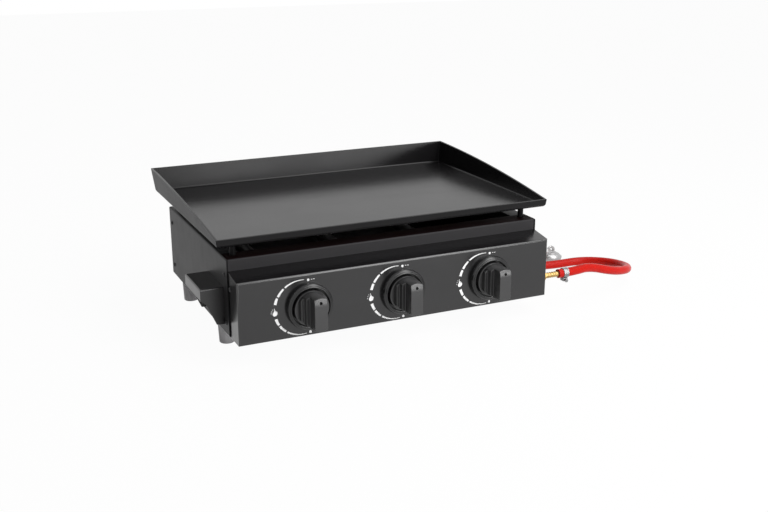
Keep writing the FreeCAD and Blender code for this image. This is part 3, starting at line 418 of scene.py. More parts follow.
    def soften(self, width: float, segments: int, angle: float = 40.0) -> None:
        """Rounds the sharp edges.

        Args:
            width: the width of the rounding.
            segments: how many faces it has.
            angle: the angle in degrees from which an edge is sharp.
        """
        self.modify(
            "BEVEL",
            width=width,
            segments=segments,
            limit_method="ANGLE",
            angle_limit=math.radians(angle),
            use_clamp_overlap=False,
        )

    def combine(self, other: "Workpiece", meeting: Meeting) -> None:
        """Welds, cuts or meets this piece with another, which is used up."""
        self.modify("BOOLEAN", operation=meeting.value, object=other.piece, solver="MANIFOLD")
        other.discard()

    def join(self, others: Sequence["Workpiece"]) -> None:
        """Takes other pieces into this one's mesh.

        Args:
            others: the pieces, which are used up.
        """
        self.hold()
        for other in others:
            other.piece.select_set(True)
        bpy.ops.object.join()

    def copied(self, name: str, transform: Matrix) -> "Workpiece":
        """Makes a copy with its own mesh.

        Args:
            name: the copy's name.
            transform: where the copy is moved.

        Returns:
            The copy.
        """
        copy = bpy.data.objects.new(name, self.piece.data.copy())
        bpy.context.scene.collection.objects.link(copy)
        made = Workpiece(copy, name)
        made.move(transform)
        return made

    def smooth(self, angle: float) -> None:
        """Shades the piece smooth, apart from its sharp edges.

        Args:
            angle: the angle in degrees from which an edge is sharp.
        """
        self.hold()
        bpy.ops.object.shade_smooth_by_angle(angle=math.radians(angle))
        self.modify("WEIGHTED_NORMAL", mode="FACE_AREA", keep_sharp=True)

    def discard(self) -> None:
        """Takes the piece off the bench."""
        bpy.data.objects.remove(self.piece)


# Finishes


class NodeBench:
    """Adds and links nodes in one tree."""

    def __init__(self, tree: bpy.types.NodeTree) -> None:
        """Takes up a tree."""
        self.tree = tree

    def add(self, kind: str, **settings: Any) -> bpy.types.Node:
        """Adds a node.

        Args:
            kind: the node's type.
            settings: the node's own properties in lower case, and its inputs by their names with
                underscores for spaces. A socket as a value is linked.

        Returns:
            The node.
        """
        node = self.tree.nodes.new(kind)
        for word, value in settings.items():
            if word[0].islower():
                setattr(node, word, value)
            else:
                self.feed(node.inputs[word.replace("_", " ")], value)
        return node

    def feed(self, socket: bpy.types.NodeSocket, value: Any) -> None:
        """Sets an input, or links it if the value is another node's socket.

        Args:
            socket: the input.
            value: its value, or the socket that feeds it.
        """
        if isinstance(value, bpy.types.NodeSocket):
            self.tree.links.new(value, socket)
        else:
            socket.default_value = value

    def feed_all(self, sockets: Sequence[bpy.types.NodeSocket], values: Sequence[Any]) -> None:
        """Sets or links several inputs in their order."""
        for socket, value in zip(sockets, values):
            self.feed(socket, value)

    def maths(self, operation: str, *values: Any) -> bpy.types.NodeSocket:
        """Works a sum out.

        Args:
            operation: the kind of sum.
            values: its numbers or sockets.

        Returns:
            The socket of its result.
        """
        node = self.add("ShaderNodeMath", operation=operation)
        self.feed_all(node.inputs, values)
        return node.outputs["Value"]

    def vectors(self, operation: str, *values: Any) -> bpy.types.Node:
        """Works a sum of vectors out.

        Args:
            operation: the kind of sum.
            values: its vectors or sockets.

        Returns:
            The sum's node.
        """
        node = self.add("ShaderNodeVectorMath", operation=operation)
        self.feed_all(node.inputs, values)
        return node

    def spread(self, value: Any, source: Point, target: Sequence[Any]) -> bpy.types.NodeSocket:
        """Maps a value from one range to another, held at both ends.

        Args:
            value: the number or socket that is mapped.
            source: the range that it comes from.
            target: the range that it goes to.

        Returns:
            The socket of the result.
        """
        node = self.add("ShaderNodeMapRange", Value=value)
        self.feed_all(node.inputs[1:5], (*source, *target))
        return node.outputs["Result"]

    def blend(self, share: Any, first: Any, second: Any) -> bpy.types.NodeSocket:
        """Mixes two colours.

        Args:
            share: how much of the second shows.
            first: the first colour or its socket.
            second: the second colour or its socket.

        Returns:
            The socket of the mixed colour.
        """
        node = self.add("ShaderNodeMix", data_type="RGBA", Factor=share)
        colours = [socket for socket in node.inputs if socket.type == "RGBA"]
        self.feed_all(colours, (first, second))
        return [socket for socket in node.outputs if socket.type == "RGBA"][0]


def new_group(name: str, inputs: dict[str, str], outputs: dict[str, str]) -> tuple[Any, ...]:
    """Starts a node group.

    Args:
        name: the group's name.
        inputs: the kind of each input socket.
        outputs: the kind of each output socket.

    Returns:
        The group's tree, its bench, its inputs and what its output node takes.
    """
    tree = bpy.data.node_groups.new(name, "ShaderNodeTree")
    for direction, sockets in (("INPUT", inputs), ("OUTPUT", outputs)):
        for word, kind in sockets.items():
            tree.interface.new_socket(
                name=word, in_out=direction, socket_type="NodeSocket" + kind
            )
    bench = NodeBench(tree)
    return tree, bench, bench.add("NodeGroupInput").outputs, bench.add("NodeGroupOutput").inputs


class Effects:
    """The shader effects that several finishes share, with the sizes of their patterns."""

    mottle_share: float = 0.04
    patch_scale: float = 14.0
    wipe_turn: Triple = (0.3, 0.2, 0.7)
    wipe_scale: Triple = (9.0, 60.0, 30.0)
    wipe_range: Point = (0.16, 0.36)
    edge_range: Point = (0.99, 0.8)
    chip_scale: float = 160.0
    chip_range: Point = (0.42, 0.62)
    full: Point = (0.0, 1.0)

    def __init__(self) -> None:
        """Builds each effect once."""
        self.grain = self.make_grain()
        self.handling = self.make_handling()
        self.brushing = self.make_brushing()
        self.wear = self.make_wear()
        self.finished: dict[str, bpy.types.Material] = {}

    @staticmethod
    def swing(bench: NodeBench, noise: bpy.types.Node, amount: Any) -> bpy.types.NodeSocket:
        """Gives a shade that swings about 1 with a noise, by an amount."""
        centred = bench.maths("SUBTRACT", noise.outputs["Fac"], 0.5)
        return bench.maths("ADD", bench.maths("MULTIPLY", centred, amount), 1.0)

    def make_grain(self) -> bpy.types.NodeTree:
        """Builds the fine relief of a sprayed, cast or moulded surface.

        Returns:
            The node group.
        """
        tree, bench, taken, given = new_group(
            "fine_grain",
            {"Vector": "Vector", "Scale": "Float", "Depth": "Float", "Mottle": "Float"},
            {"Height": "Float", "Shade": "Float"},
        )
        place = taken["Vector"]
        fine = bench.add("ShaderNodeTexNoise", Vector=place, Scale=taken["Scale"], Detail=3.0)
        wide = bench.maths("MULTIPLY", taken["Scale"], self.mottle_share)
        cloud = bench.add("ShaderNodeTexNoise", Vector=place, Scale=wide, Detail=4.0)
        height = bench.maths("MULTIPLY", fine.outputs["Fac"], taken["Depth"])
        bench.feed(given["Height"], height)
        bench.feed(given["Shade"], self.swing(bench, cloud, taken["Mottle"]))
        return tree

    def make_handling(self) -> bpy.types.NodeTree:
        """Builds the uneven gloss that wiping and touching leave.

        Returns:
            The node group.
        """
        tree, bench, taken, given = new_group(
            "handling_marks",
            {"Vector": "Vector", "Roughness": "Float", "Amount": "Float"},
            {"Roughness": "Float", "Mask": "Float"},
        )
        place = taken["Vector"]
        patches = bench.add(
            "ShaderNodeTexNoise", Vector=place, Scale=self.patch_scale, Detail=5.0, Roughness=0.62
        )
        turned = bench.add(
            "ShaderNodeMapping", Vector=place, Rotation=self.wipe_turn, Scale=self.wipe_scale
        )
        wipes = bench.add(
            "ShaderNodeTexNoise", Vector=turned.outputs["Vector"], Scale=1.0, Detail=3.0
        )
        both = bench.maths("MULTIPLY", patches.outputs["Fac"], wipes.outputs["Fac"])
        mask = bench.spread(both, self.wipe_range, self.full)
        bench.feed(given["Mask"], mask)
        change = bench.maths("MULTIPLY", bench.maths("SUBTRACT", mask, 0.5), taken["Amount"])
        bench.feed(given["Roughness"], bench.maths("ADD", taken["Roughness"], change))
        return tree

    def make_brushing(self) -> bpy.types.NodeTree:
        """Builds fine parallel streaks along one axis, as rolling and brushing leave.

        Returns:
            The node group.
        """
        tree, bench, taken, given = new_group(
            "brushed_streaks",
            {"Vector": "Vector", "Stretch": "Vector", "Depth": "Float", "Shade": "Float"},
            {"Height": "Float", "Shade": "Float"},
        )
        drawn = bench.vectors("MULTIPLY", taken["Vector"], taken["Stretch"]).outputs["Vector"]
        lines = bench.add(
            "ShaderNodeTexNoise", Vector=drawn, Scale=1.0, Detail=4.0, Roughness=0.7
        )
        bench.feed(given["Height"], bench.maths("MULTIPLY", lines.outputs["Fac"], taken["Depth"]))
        bench.feed(given["Shade"], self.swing(bench, lines, taken["Shade"]))
        return tree

    def make_wear(self) -> bpy.types.NodeTree:
        """Builds the broken, paler line where an edge has been rubbed.

        Returns:
            The node group.
        """
        tree, bench, taken, given = new_group(
            "edge_wear",
            {"Vector": "Vector", "Width": "Float", "Amount": "Float"},
            {"Mask": "Float"},
        )
        rounded = bench.add("ShaderNodeBevel", samples=4, Radius=taken["Width"])
        flat = bench.add("ShaderNodeNewGeometry")
        same = bench.vectors("DOT_PRODUCT", rounded.outputs["Normal"], flat.outputs["Normal"])
        edge = bench.spread(same.outputs["Value"], self.edge_range, self.full)
        broken = bench.add(
            "ShaderNodeTexNoise", Vector=taken["Vector"], Scale=self.chip_scale, Detail=5.0
        )
        rubbed = bench.spread(broken.outputs["Fac"], self.chip_range, self.full)
        mask = bench.maths("MULTIPLY", bench.maths("MULTIPLY", edge, rubbed), taken["Amount"])
        bench.feed(given["Mask"], mask)
        return tree


@dataclass(frozen=True)
class Finish:
    """A surface finish: its colour, its gloss and how both vary over the surface."""

    name: str
    slot: str
    colour: Triple
    roughness: float
    metallic: float = 0.0
    coat: float = 0.0
    coat_roughness: float = 0.12
    grain: float = 1500.0
    relief: float = 0.02 * MM
    mottle: float = 0.12
    handling: float = 0.08
    streaks: float = 0.0
    stretch: Triple = (3.0, 900.0, 900.0)
    wear: float = 0.0
    wear_width: float = 0.8 * MM
    worn_colour: Triple = (0.2, 0.2, 0.2)
    specular: float = 0.5

    def material(self, effects: Effects) -> bpy.types.Material:
        """Gives the finish's material, which is built when it is first asked for.

        Args:
            effects: the shared shader effects.

        Returns:
            The material.
        """
        if self.name not in effects.finished:
            effects.finished[self.name] = self.mixed(effects)
        return effects.finished[self.name]

    def mixed(self, effects: Effects) -> bpy.types.Material:
        """Builds the finish's material.

        Args:
            effects: the shared shader effects.

        Returns:
            The material.
        """
        made = bpy.data.materials.new(self.name)
        made.use_nodes = True
        bench = NodeBench(made.node_tree)
        shader = made.node_tree.nodes["Principled BSDF"]
        place = bench.add("ShaderNodeTexCoord").outputs["Object"]

        def effect(tree: bpy.types.NodeTree, **inputs: Any) -> Any:
            """Places a shared effect with this finish's own values."""
            return bench.add("ShaderNodeGroup", node_tree=tree, Vector=place, **inputs).outputs

        grain = effect(effects.grain, Scale=self.grain, Depth=self.relief, Mottle=self.mottle)
        marks = effect(effects.handling, Roughness=self.roughness, Amount=self.handling)
        shade, height = grain["Shade"], grain["Height"]
        if self.streaks:
            lines = effect(
                effects.brushing, Stretch=self.stretch, Depth=self.relief, Shade=self.streaks
            )
            shade = bench.maths("MULTIPLY", shade, lines["Shade"])
            height = bench.maths("ADD", height, lines["Height"])
        tint = bench.add(
            "ShaderNodeVectorMath", operation="SCALE", Vector=self.colour, Scale=shade
        )
        colour = tint.outputs["Vector"]
        if self.wear:
            rubbed = effect(effects.wear, Width=self.wear_width, Amount=self.wear)
            colour = bench.blend(rubbed["Mask"], colour, (*self.worn_colour, 1.0))
        bump = bench.add("ShaderNodeBump", Height=height, Strength=1.0, Distance=1.0)
        for word, value in (
            ("Base Color", colour),
            ("Roughness", marks["Roughness"]),
            ("Normal", bump.outputs["Normal"]),
            ("Metallic", self.metallic),
            ("Coat Weight", self.coat),
            ("Coat Roughness", self.coat_roughness),
            ("Specular IOR Level", self.specular),
        ):
            bench.feed(shader.inputs[word], value)
        return made


POWDER_COAT = Finish(
    "satin_powder_coat", "body_paint", (0.018, 0.0174, 0.0184), 0.42,
    grain=1300.0, relief=0.01 * MM, mottle=0.1, handling=0.03, wear=0.35,
    worn_colour=(0.05, 0.05, 0.05), specular=0.11,
)
TRAY_COAT = Finish(
    "tray_powder_coat", "body_paint", (0.03, 0.0288, 0.0304), 0.44,
    grain=1300.0, relief=0.01 * MM, mottle=0.1, handling=0.03, wear=0.3,
    worn_colour=(0.06, 0.06, 0.06), specular=0.1,
)
# Painted shade: a reddish near-black for the front wall's top and inner faces, which lie in the
# dark gap under the plate.
GAP_SHADE_COAT = Finish(
    "painted_gap_shade_coat", "body_paint", (0.007, 0.0026, 0.0026), 0.6,
    grain=700.0, relief=0.012 * MM, mottle=0.35, handling=0.12, specular=0.04,
)
HANDLE_COAT = Finish(
    "handle_powder_coat", "body_paint", (0.014, 0.0134, 0.0142), 0.3,
    grain=1300.0, relief=0.008 * MM, mottle=0.1, handling=0.03, wear=0.35,
    worn_colour=(0.05, 0.05, 0.05), specular=0.6,
)
CONTROL_COAT = Finish(
    "control_panel_coat", "body_paint", (0.007, 0.0066, 0.0072), 0.22,
    grain=1500.0, relief=0.006 * MM, mottle=0.08, handling=0.05, wear=0.4,
    worn_colour=(0.16, 0.16, 0.16), specular=0.66,
)
PLATE_ENAMEL = Finish(
    "griddle_enamel", "plate_enamel", (0.007, 0.0066, 0.0071), 0.2,
    grain=900.0, relief=0.006 * MM, mottle=0.2, handling=0.025, streaks=0.15,
    stretch=(4.0, 500.0, 500.0), wear=0.3, worn_colour=(0.05, 0.05, 0.05), specular=0.18,
)
# Black enamel like the plate's, made darker and duller than it as painted shade for the studs
# under the plate.
STUD_ENAMEL_AND_SHADE = Finish(
    "stud_enamel_and_painted_shade", "plate_enamel", (0.004, 0.0038, 0.0041), 0.5,
    grain=900.0, relief=0.006 * MM, mottle=0.2, specular=0.1,
)
WALL_ENAMEL = Finish(
    "plate_wall_enamel", "plate_enamel", (0.018, 0.0174, 0.0184), 0.42,
    grain=1300.0, relief=0.01 * MM, mottle=0.1, handling=0.03, specular=0.11,
)
PAN_ENAMEL = Finish(
    "pan_enamel", "pan_steel", (0.02, 0.02, 0.02), 0.5,
    grain=800.0, relief=0.015 * MM, mottle=0.3, handling=0.15,
)
ZINC = Finish(
    "zinc_plating", "zinc_steel", (0.62, 0.62, 0.6), 0.32, metallic=1.0,
    grain=2500.0, relief=0.006 * MM, mottle=0.2, handling=0.15,
)
PAINTED_SCREW = Finish(
    "painted_screw", "zinc_steel", (0.034, 0.033, 0.035), 0.42,
    grain=2500.0, relief=0.006 * MM, mottle=0.2, handling=0.1, wear=0.4,
    worn_colour=(0.12, 0.12, 0.12), specular=0.25,
)
ELECTRODE = Finish(
    "electrode_steel", "stem_steel", (0.42, 0.4, 0.37), 0.35, metallic=1.0,
    grain=2200.0, relief=0.005 * MM, mottle=0.3, handling=0.2,
)
REGULATOR_CAST = Finish(
    "regulator_zinc_cast", "valve_aluminium", (0.42, 0.42, 0.42), 0.42, metallic=0.75,
    grain=900.0, relief=0.03 * MM, mottle=0.2, handling=0.15, wear=0.3,
    worn_colour=(0.6, 0.6, 0.6),
)
FOOT_PLASTIC = Finish(
    "foot_moulding", "foot_plastic", (0.58, 0.57, 0.58), 0.5,
    grain=1800.0, relief=0.012 * MM, mottle=0.1, handling=0.1, specular=0.35,
)
BEZEL_PLASTIC = Finish(
    "bezel_moulding", "bezel_plastic", (0.007, 0.007, 0.0073), 0.22,
    grain=2400.0, relief=0.006 * MM, mottle=0.08, handling=0.06,
)
KNOB_PLASTIC = Finish(
    "knob_moulding", "knob_plastic", (0.016, 0.0157, 0.0163), 0.34,
    grain=2600.0, relief=0.01 * MM, mottle=0.08, handling=0.08, wear=0.3,
    worn_colour=(0.09, 0.09, 0.09), specular=0.74,
)
POINTER_INK = Finish(
    "pointer_ink", "knob_plastic", (0.004, 0.004, 0.004), 0.6,
    grain=3000.0, relief=0.004 * MM, specular=0.1,
)
DIAL_INK = Finish(
    "dial_ink", "body_paint", (0.86, 0.86, 0.86), 0.45,
    grain=4000.0, relief=0.004 * MM, mottle=0.06, handling=0.05,
)
DIE_CAST = Finish(
    "die_cast_aluminium", "valve_aluminium", (0.55, 0.55, 0.56), 0.42, metallic=1.0,
    grain=1100.0, relief=0.03 * MM, mottle=0.2, handling=0.12,
)
BRASS = Finish(
    "machined_brass", "gas_brass", (0.44, 0.29, 0.11), 0.32, metallic=1.0,
    grain=2200.0, relief=0.005 * MM, mottle=0.2, handling=0.14, streaks=0.2,
    stretch=(1800.0, 6.0, 6.0),
)
TURNED_STEEL = Finish(
    "turned_steel", "stem_steel", (0.5, 0.5, 0.5), 0.3, metallic=1.0,
    grain=2200.0, relief=0.005 * MM, streaks=0.25, stretch=(6.0, 1800.0, 6.0),
)
# Painted shade: the burner steel is made near-black so that the tubes stay dark in the shade
# under the plate.
SHADED_BURNER_STEEL = Finish(
    "burner_tube_painted_shade", "burner_steel", (0.03, 0.028, 0.027), 0.5, metallic=0.3,
    grain=900.0, relief=0.01 * MM, mottle=0.35, handling=0.2, streaks=0.3,
    stretch=(900.0, 4.0, 900.0),
)
CERAMIC = Finish(
    "glazed_sleeve", "igniter_ceramic", (0.8, 0.79, 0.75), 0.25,
    grain=1500.0, relief=0.01 * MM, mottle=0.05, coat=0.3,
)
HOSE_RUBBER = Finish(
    "red_hose_skin", "hose_rubber", (0.47, 0.01, 0.006), 0.3,
    grain=1800.0, relief=0.008 * MM, mottle=0.12, handling=0.08, specular=0.1,
)
CLAMP_STEEL = Finish(
    "bright_band_steel", "clamp_steel", (0.3, 0.3, 0.3), 0.3, metallic=1.0,
    grain=2500.0, relief=0.005 * MM, mottle=0.15, handling=0.12,
)


class Fitter:
    """Gives each finished piece its material and body, and the nodes that it stands for."""

    def __init__(self, effects: Effects) -> None:
        """Takes the shared effects."""
        self.effects = effects

    def fit(
        self, part: Workpiece, finish: Finish, body: str, nodes: Sequence[str] = ()
    ) -> bpy.types.Object:
        """Finishes a new piece.

        Args:
            part: the piece.
            finish: its finish.
            body: the body it rides on.
            nodes: the nodes that it replaces.

        Returns:
            The piece's object.
        """
        piece = part.piece
        piece.data.materials.clear()
        piece.data.materials.append(finish.material(self.effects))
        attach(piece, body)
        if nodes:
            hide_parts(*nodes)
        LOG.info("%s rides on %s for %s", piece.name, body, ", ".join(nodes) or "itself")
        return piece

    def paint(self, finish: Finish, *nodes: str) -> None:
        """Gives nodes whose shape stays a better material.

        Args:
            finish: the finish.
            nodes: the nodes.
        """
        for node in nodes:
            for slot in bpy.data.objects[node].material_slots:
                slot.material = finish.material(self.effects)
            LOG.info("%s keeps its shape in %s", node, finish.name)

    def fit_copies(
        self,
        name: str,
        pattern: Workpiece,
        moves: Sequence[Matrix],
        finish: Finish,
        body: str,
        node: str,
    ) -> None:
        """Copies a pattern to several places as one piece, and finishes it.

        Args:
            name: the piece's name.
            pattern: what is copied.
            moves: where each copy is moved.
            finish: the piece's finish.
            body: the body it rides on.
            node: the node that it replaces.
        """
        copies = [pattern.copied(f"{name}_{number}", move) for number, move in enumerate(moves)]
        first = copies[0]
        first.join(copies[1:])
        first.rename(name)
        self.fit(first, finish, body, [node])


# Sheet-metal pieces and small fasteners


class SheetMetal:
    """Dresses folded sheet pieces over the model's own shapes."""

    def __init__(self, fitter: Fitter) -> None:
        """Takes the fitter."""
        self.fitter = fitter

    def dress(
        self, node: str, finish: Finish, body: str = STATION, edge: float = 0.0
    ) -> Workpiece:
        """Copies a node, rounds its cut edges and gives it its finish.

        Args:
            node: the node that the piece stands for.
            finish: its finish.
            body: the body it rides on.
            edge: the width of the rounding.

        Returns:
            The dressed piece.
        """
        sheet = Workpiece.from_node(f"{node}_sheet", node)
        if edge:
            sheet.soften(edge, segments=2, angle=48.0)
        sheet.smooth(28.0)
        self.fitter.fit(sheet, finish, body, [node])
        return sheet

    def recoat(self, sheet: Workpiece, finish: Finish, test: Test) -> None:
        """Gives some faces of a dressed sheet a finish of their own.

        Args:
            sheet: the dressed piece.
            finish: the second finish.
            test: picks the faces by their centre and normal.
        """
        mesh = sheet.piece.data
        mesh.materials.append(finish.material(self.fitter.effects))
        for face in mesh.polygons:
            if test(face.center, face.normal):
                face.material_index = 1


@dataclass
class Fasteners:
    """Screws, bolts and nuts, each modelled once and copied to its places."""

    fitter: Fitter
    screw_radius: float = 2.0 * MM
    screw_head: float = 3.8 * MM
    screw_dome: float = 0.53
    screw_length: float = 6.0 * MM
    slot_width: float = 0.75 * MM
    slot_length: float = 4.0 * MM
    slot_depth: float = 1.1 * MM
    bolt_radius: float = 2.5 * MM
    bolt_flats: float = 4.0 * MM
    bolt_rise: float = 3.2 * MM
    nut_flats: float = 4.5 * MM
    nut_rise: float = 4.0 * MM
    chamfer: float = 0.18

    def screw(self) -> Workpiece:
        """Makes a domed screw with a cross recess.

        Returns:
            The screw, its head above the origin.
        """
        head, shank = self.screw_head, self.screw_radius
        crown = head * self.screw_dome
        made = Workpiece.turned(
            "screw",
            [
                (shank * 0.7, -self.screw_length),
                (shank, -self.screw_length + shank * 0.4),
                (shank, 0.0),
                (head, 0.0),
                (head, head * 0.15),
                (head * 0.93, head * 0.3),
                (head * 0.76, head * 0.42),
                (head * 0.5, head * 0.5),
                (head * 0.2, crown),
            ],
            sides=28,
        )
        half, arm = self.slot_width / 2, self.slot_length / 2
        for across, along in ((half, arm), (arm, half)):
            slot = Workpiece.block(
                "slot", (-across, -along, crown - self.slot_depth), (across, along, crown + CLEAR)
            )
            made.combine(slot, Meeting.CUT)
        made.smooth(35.0)
        return made

    def hexagon(self, name: str, flats: float, low_z: float, high_z: float) -> Workpiece:
        """Makes a hexagonal block whose upper corners are turned off.

        Args:
            name: the piece's name.
            flats: from its axis to its flats.
            low_z: the height of its lower end.
            high_z: the height of its upper end.

        Returns:
            The block.
        """
        corner = flats / math.cos(math.pi / 6)
        made = Workpiece.cylinder(name, corner, low_z, high_z, sides=6)
        rise = (high_z - low_z) * self.chamfer
        cone = Workpiece.turned(
            "cone",
            [
                (corner * 1.1, low_z - CLEAR),
                (corner * 1.1, high_z - rise),
                (flats * 0.94, high_z + rise * 0.2),
            ],
            sides=40,
        )
        made.combine(cone, Meeting.SHARE)
        return made

    def bolt(self, length: float) -> Workpiece:
        """Makes a hexagonal bolt.

        Args:
            length: the length below its head.

        Returns:
            The bolt, its head above the origin.
        """
        made = self.hexagon("bolt", self.bolt_flats, 0.0, self.bolt_rise)
        tip = self.bolt_radius * 0.8
        shank = Workpiece.turned(
            "shank",
            [
                (tip, -length),
                (self.bolt_radius, -length + 0.5 * MM),
                (self.bolt_radius, self.bolt_rise / 2),
            ],
            sides=28,
        )
        made.combine(shank, Meeting.WELD)
        made.smooth(30.0)
        return made

    def nut(self) -> Workpiece:
        """Makes a hexagonal nut with its bore.

        Returns:
            The nut, standing on the origin.
        """
        made = self.hexagon("nut", self.nut_flats, 0.0, self.nut_rise)
        bore = Workpiece.cylinder("bore", self.bolt_radius, -CLEAR, self.nut_rise + CLEAR, 28)
        made.combine(bore, Meeting.CUT)
        made.smooth(30.0)
        return made

    def place(
        self,
        name: str,
        pattern: Workpiece,
        places: Sequence[tuple[Vector, Vector]],
        finish: Finish,
        node: str,
    ) -> None:
        """Copies a fastener as one piece to its places, each with the way that it points."""
        moves = [facing(axis, spot) for axis, spot in places]
        self.fitter.fit_copies(name, pattern, moves, finish, STATION, node)


@dataclass
class GriddlePlate:
    """The griddle's pan with its leaning walls, and the four studs that are welded to it."""

    fitter: Fitter
    edge: float = 0.5 * MM
    stud_radius: float = 5.0 * MM
    spigot_radius: float = 3.0 * MM
    spigot_length: float = 9.0 * MM
    chamfer: float = 0.4 * MM
    weld: float = 2.2 * MM
    end_slope: float = 0.7

    def build(self) -> None:
        """Makes the plate and its studs."""
        metal = SheetMetal(self.fitter)
        plate = metal.dress("griddle_plate", PLATE_ENAMEL, PLATE, self.edge)
        metal.recoat(plate, WALL_ENAMEL, self.on_outer_end)
        self.studs()

    def on_outer_end(self, _place: Vector, normal: Vector) -> bool:
        """Tells whether a face is on the outside of the left or the right wall."""
        return abs(normal.x) > self.end_slope and normal.z < 0.0

    def studs(self) -> None:
        """Makes the studs, each with the bead that welds it to the plate."""
        top, foot = high("plate_studs").z, low("plate_studs").z
        shoulder = foot + self.spigot_length
        radius, thin, weld = self.stud_radius, self.spigot_radius, self.weld
        stud = Workpiece.turned(
            "stud",
            [
                (thin - 1.0 * MM, foot),
                (thin, foot + 1.0 * MM),
                (thin, shoulder),
                (radius - self.chamfer, shoulder),
                (radius, shoulder + self.chamfer),
                (radius, top - weld),
                (radius + weld * 0.25, top - weld * 0.45),
                (radius + weld * 0.7, top - weld * 0.12),
                (radius + weld * 0.8, top),
            ],
            sides=40,
        )
        stud.smooth(35.0)
        near, far = low("plate_studs"), high("plate_studs")
        moves = [
            shift(across, along, 0.0)
            for across in (near.x + radius, far.x - radius)
            for along in (near.y + radius, far.y - radius)
        ]
        # The studs take the black enamel with painted shade.
        self.fitter.fit_copies("welded_studs", stud, moves, STUD_ENAMEL_AND_SHADE, PLATE, "plate_studs")
        stud.discard()


@dataclass
class BurnerBox:
    """The side panels, the trays between them, the pan, their screws and the feet."""

    fitter: Fitter
    fasteners: Fasteners
    corner_inset: float = 14.0 * MM
    corner_levels: tuple[float, float] = (20.0 * MM, 100.0 * MM)
    foot_radius: float = 14.0 * MM
    foot_toe: float = 12.5 * MM
    foot_recess: float = 6.5 * MM
    recess_depth: float = 20.0 * MM
    foot_bore: float = 2.7 * MM
    bolt_length: float = 21.0 * MM
    pan_rise: float = 2.7 * MM
    gap_shade_slope: float = 0.9

    def build(self) -> None:
        """Makes the box, its corner screws and its feet."""
        metal = SheetMetal(self.fitter)
        for node in ("side_panel_left", "side_panel_right", "back_panel"):
            metal.dress(node, POWDER_COAT)
        # The front wall's faces in the gap under the plate get a coat of painted shade.
        metal.recoat(metal.dress("front_wall", TRAY_COAT), GAP_SHADE_COAT, self.in_gap_shade)
        metal.dress("base_pan", PAN_ENAMEL)
        metal.dress("burner_rail", PAN_ENAMEL)
        self.corner_screws()
        self.feet()

    def in_gap_shade(self, _place: Vector, normal: Vector) -> bool:
        """Tells whether a face of the front wall lies in the gap under the plate, where its shade
        is painted on.
        """
        return normal.z > self.gap_shade_slope or normal.y > self.gap_shade_slope

    def corner_screws(self) -> None:
        """Puts the eight screws through the side panels into the trays."""
        places = []
        for node, axis in (("side_panel_left", -X_AXIS), ("side_panel_right", X_AXIS)):
            near, far = low(node), high(node)
            across = near.x if axis.x < 0 else far.x
            for along in (near.y + self.corner_inset, far.y - self.corner_inset):
                for rise in self.corner_levels:
                    places.append((axis, Vector((across, along, near.z + rise))))
        screw = self.fasteners.screw()
        self.fasteners.place("corner_screw_set", screw, places, PAINTED_SCREW, "corner_screws")
        screw.discard()

    def feet(self) -> None:
        """Makes the moulded foot once and stands a copy at each place."""
        top = high("foot_front_left").z
        toe, radius = self.foot_toe, self.foot_radius
        foot = Workpiece.turned(
            "foot",
            [
                (self.foot_recess, self.recess_depth),
                (self.foot_recess, 1.0 * MM),
                (self.foot_recess + 0.8 * MM, 0.0),
                (toe - 1.8 * MM, 0.0),
                (toe - 0.8 * MM, 0.3 * MM),
                (toe - 0.2 * MM, 1.0 * MM),
                (toe, 2.2 * MM),
                (radius - 0.15 * MM, top - 1.2 * MM),
                (radius - 0.3 * MM, top - 0.4 * MM),
                (radius - 0.9 * MM, top),
                (self.foot_bore, top),
                (self.foot_bore, self.recess_depth),
                (self.foot_recess, self.recess_depth),
            ],
            sides=72,
        )
        foot.smooth(40.0)
        bolts, nuts = [], []
        for end in ("front", "back"):
            for side in ("left", "right"):
                node = f"foot_{end}_{side}"
                spot = middle(node)
                copy = foot.copied(f"moulded_{node}", shift(spot.x, spot.y, 0.0))
                self.fitter.fit(copy, FOOT_PLASTIC, STATION, [node])
                bolts.append((-Z_AXIS, Vector((spot.x, spot.y, self.recess_depth))))
                nuts.append((Z_AXIS, Vector((spot.x, spot.y, top + self.pan_rise))))
        bolt, nut = self.fasteners.bolt(self.bolt_length), self.fasteners.nut()
        self.fasteners.place("foot_bolt_set", bolt, bolts, ZINC, "foot_bolts")
        self.fasteners.place("foot_nut_set", nut, nuts, ZINC, "foot_nuts")
        for pattern in (foot, bolt, nut):
            pattern.discard()


@dataclass
class CarryHandles:
    """The two folded cups on the box's ends and the bolts inside them."""

    fitter: Fitter
    fasteners: Fasteners
    gauge: float = 1.5 * MM
    edge: float = 0.3 * MM
    bolt_level: float = 38.0 * MM
    bolt_pitch: float = 50.0 * MM
    bolt_length: float = 9.0 * MM

    def build(self) -> None:
        """Makes the handles and their bolts."""
        places = []
        for side, axis in (("left", -X_AXIS), ("right", X_AXIS)):
            node = f"side_handle_{side}"
            SheetMetal(self.fitter).dress(node, HANDLE_COAT, edge=self.edge)
            near, spot = low(node), middle(node)
            panel = near.x if axis.x > 0 else high(node).x
            for hand in (-0.5, 0.5):
                along = spot.y + self.bolt_pitch * hand
                place = Vector((panel, along, near.z + self.bolt_level)) + axis * self.gauge
                places.append((axis, place))
        bolt = self.fasteners.bolt(self.bolt_length)
        self.fasteners.place("handle_bolt_set", bolt, places, ZINC, "handle_bolts")
        bolt.discard()


# The control box with its dials


@dataclass(frozen=True)
class Stroke:
    """One tapered stroke of a dial's arc, from an angle in degrees to another."""

    start: float
    end: float
    start_width: float
    end_width: float


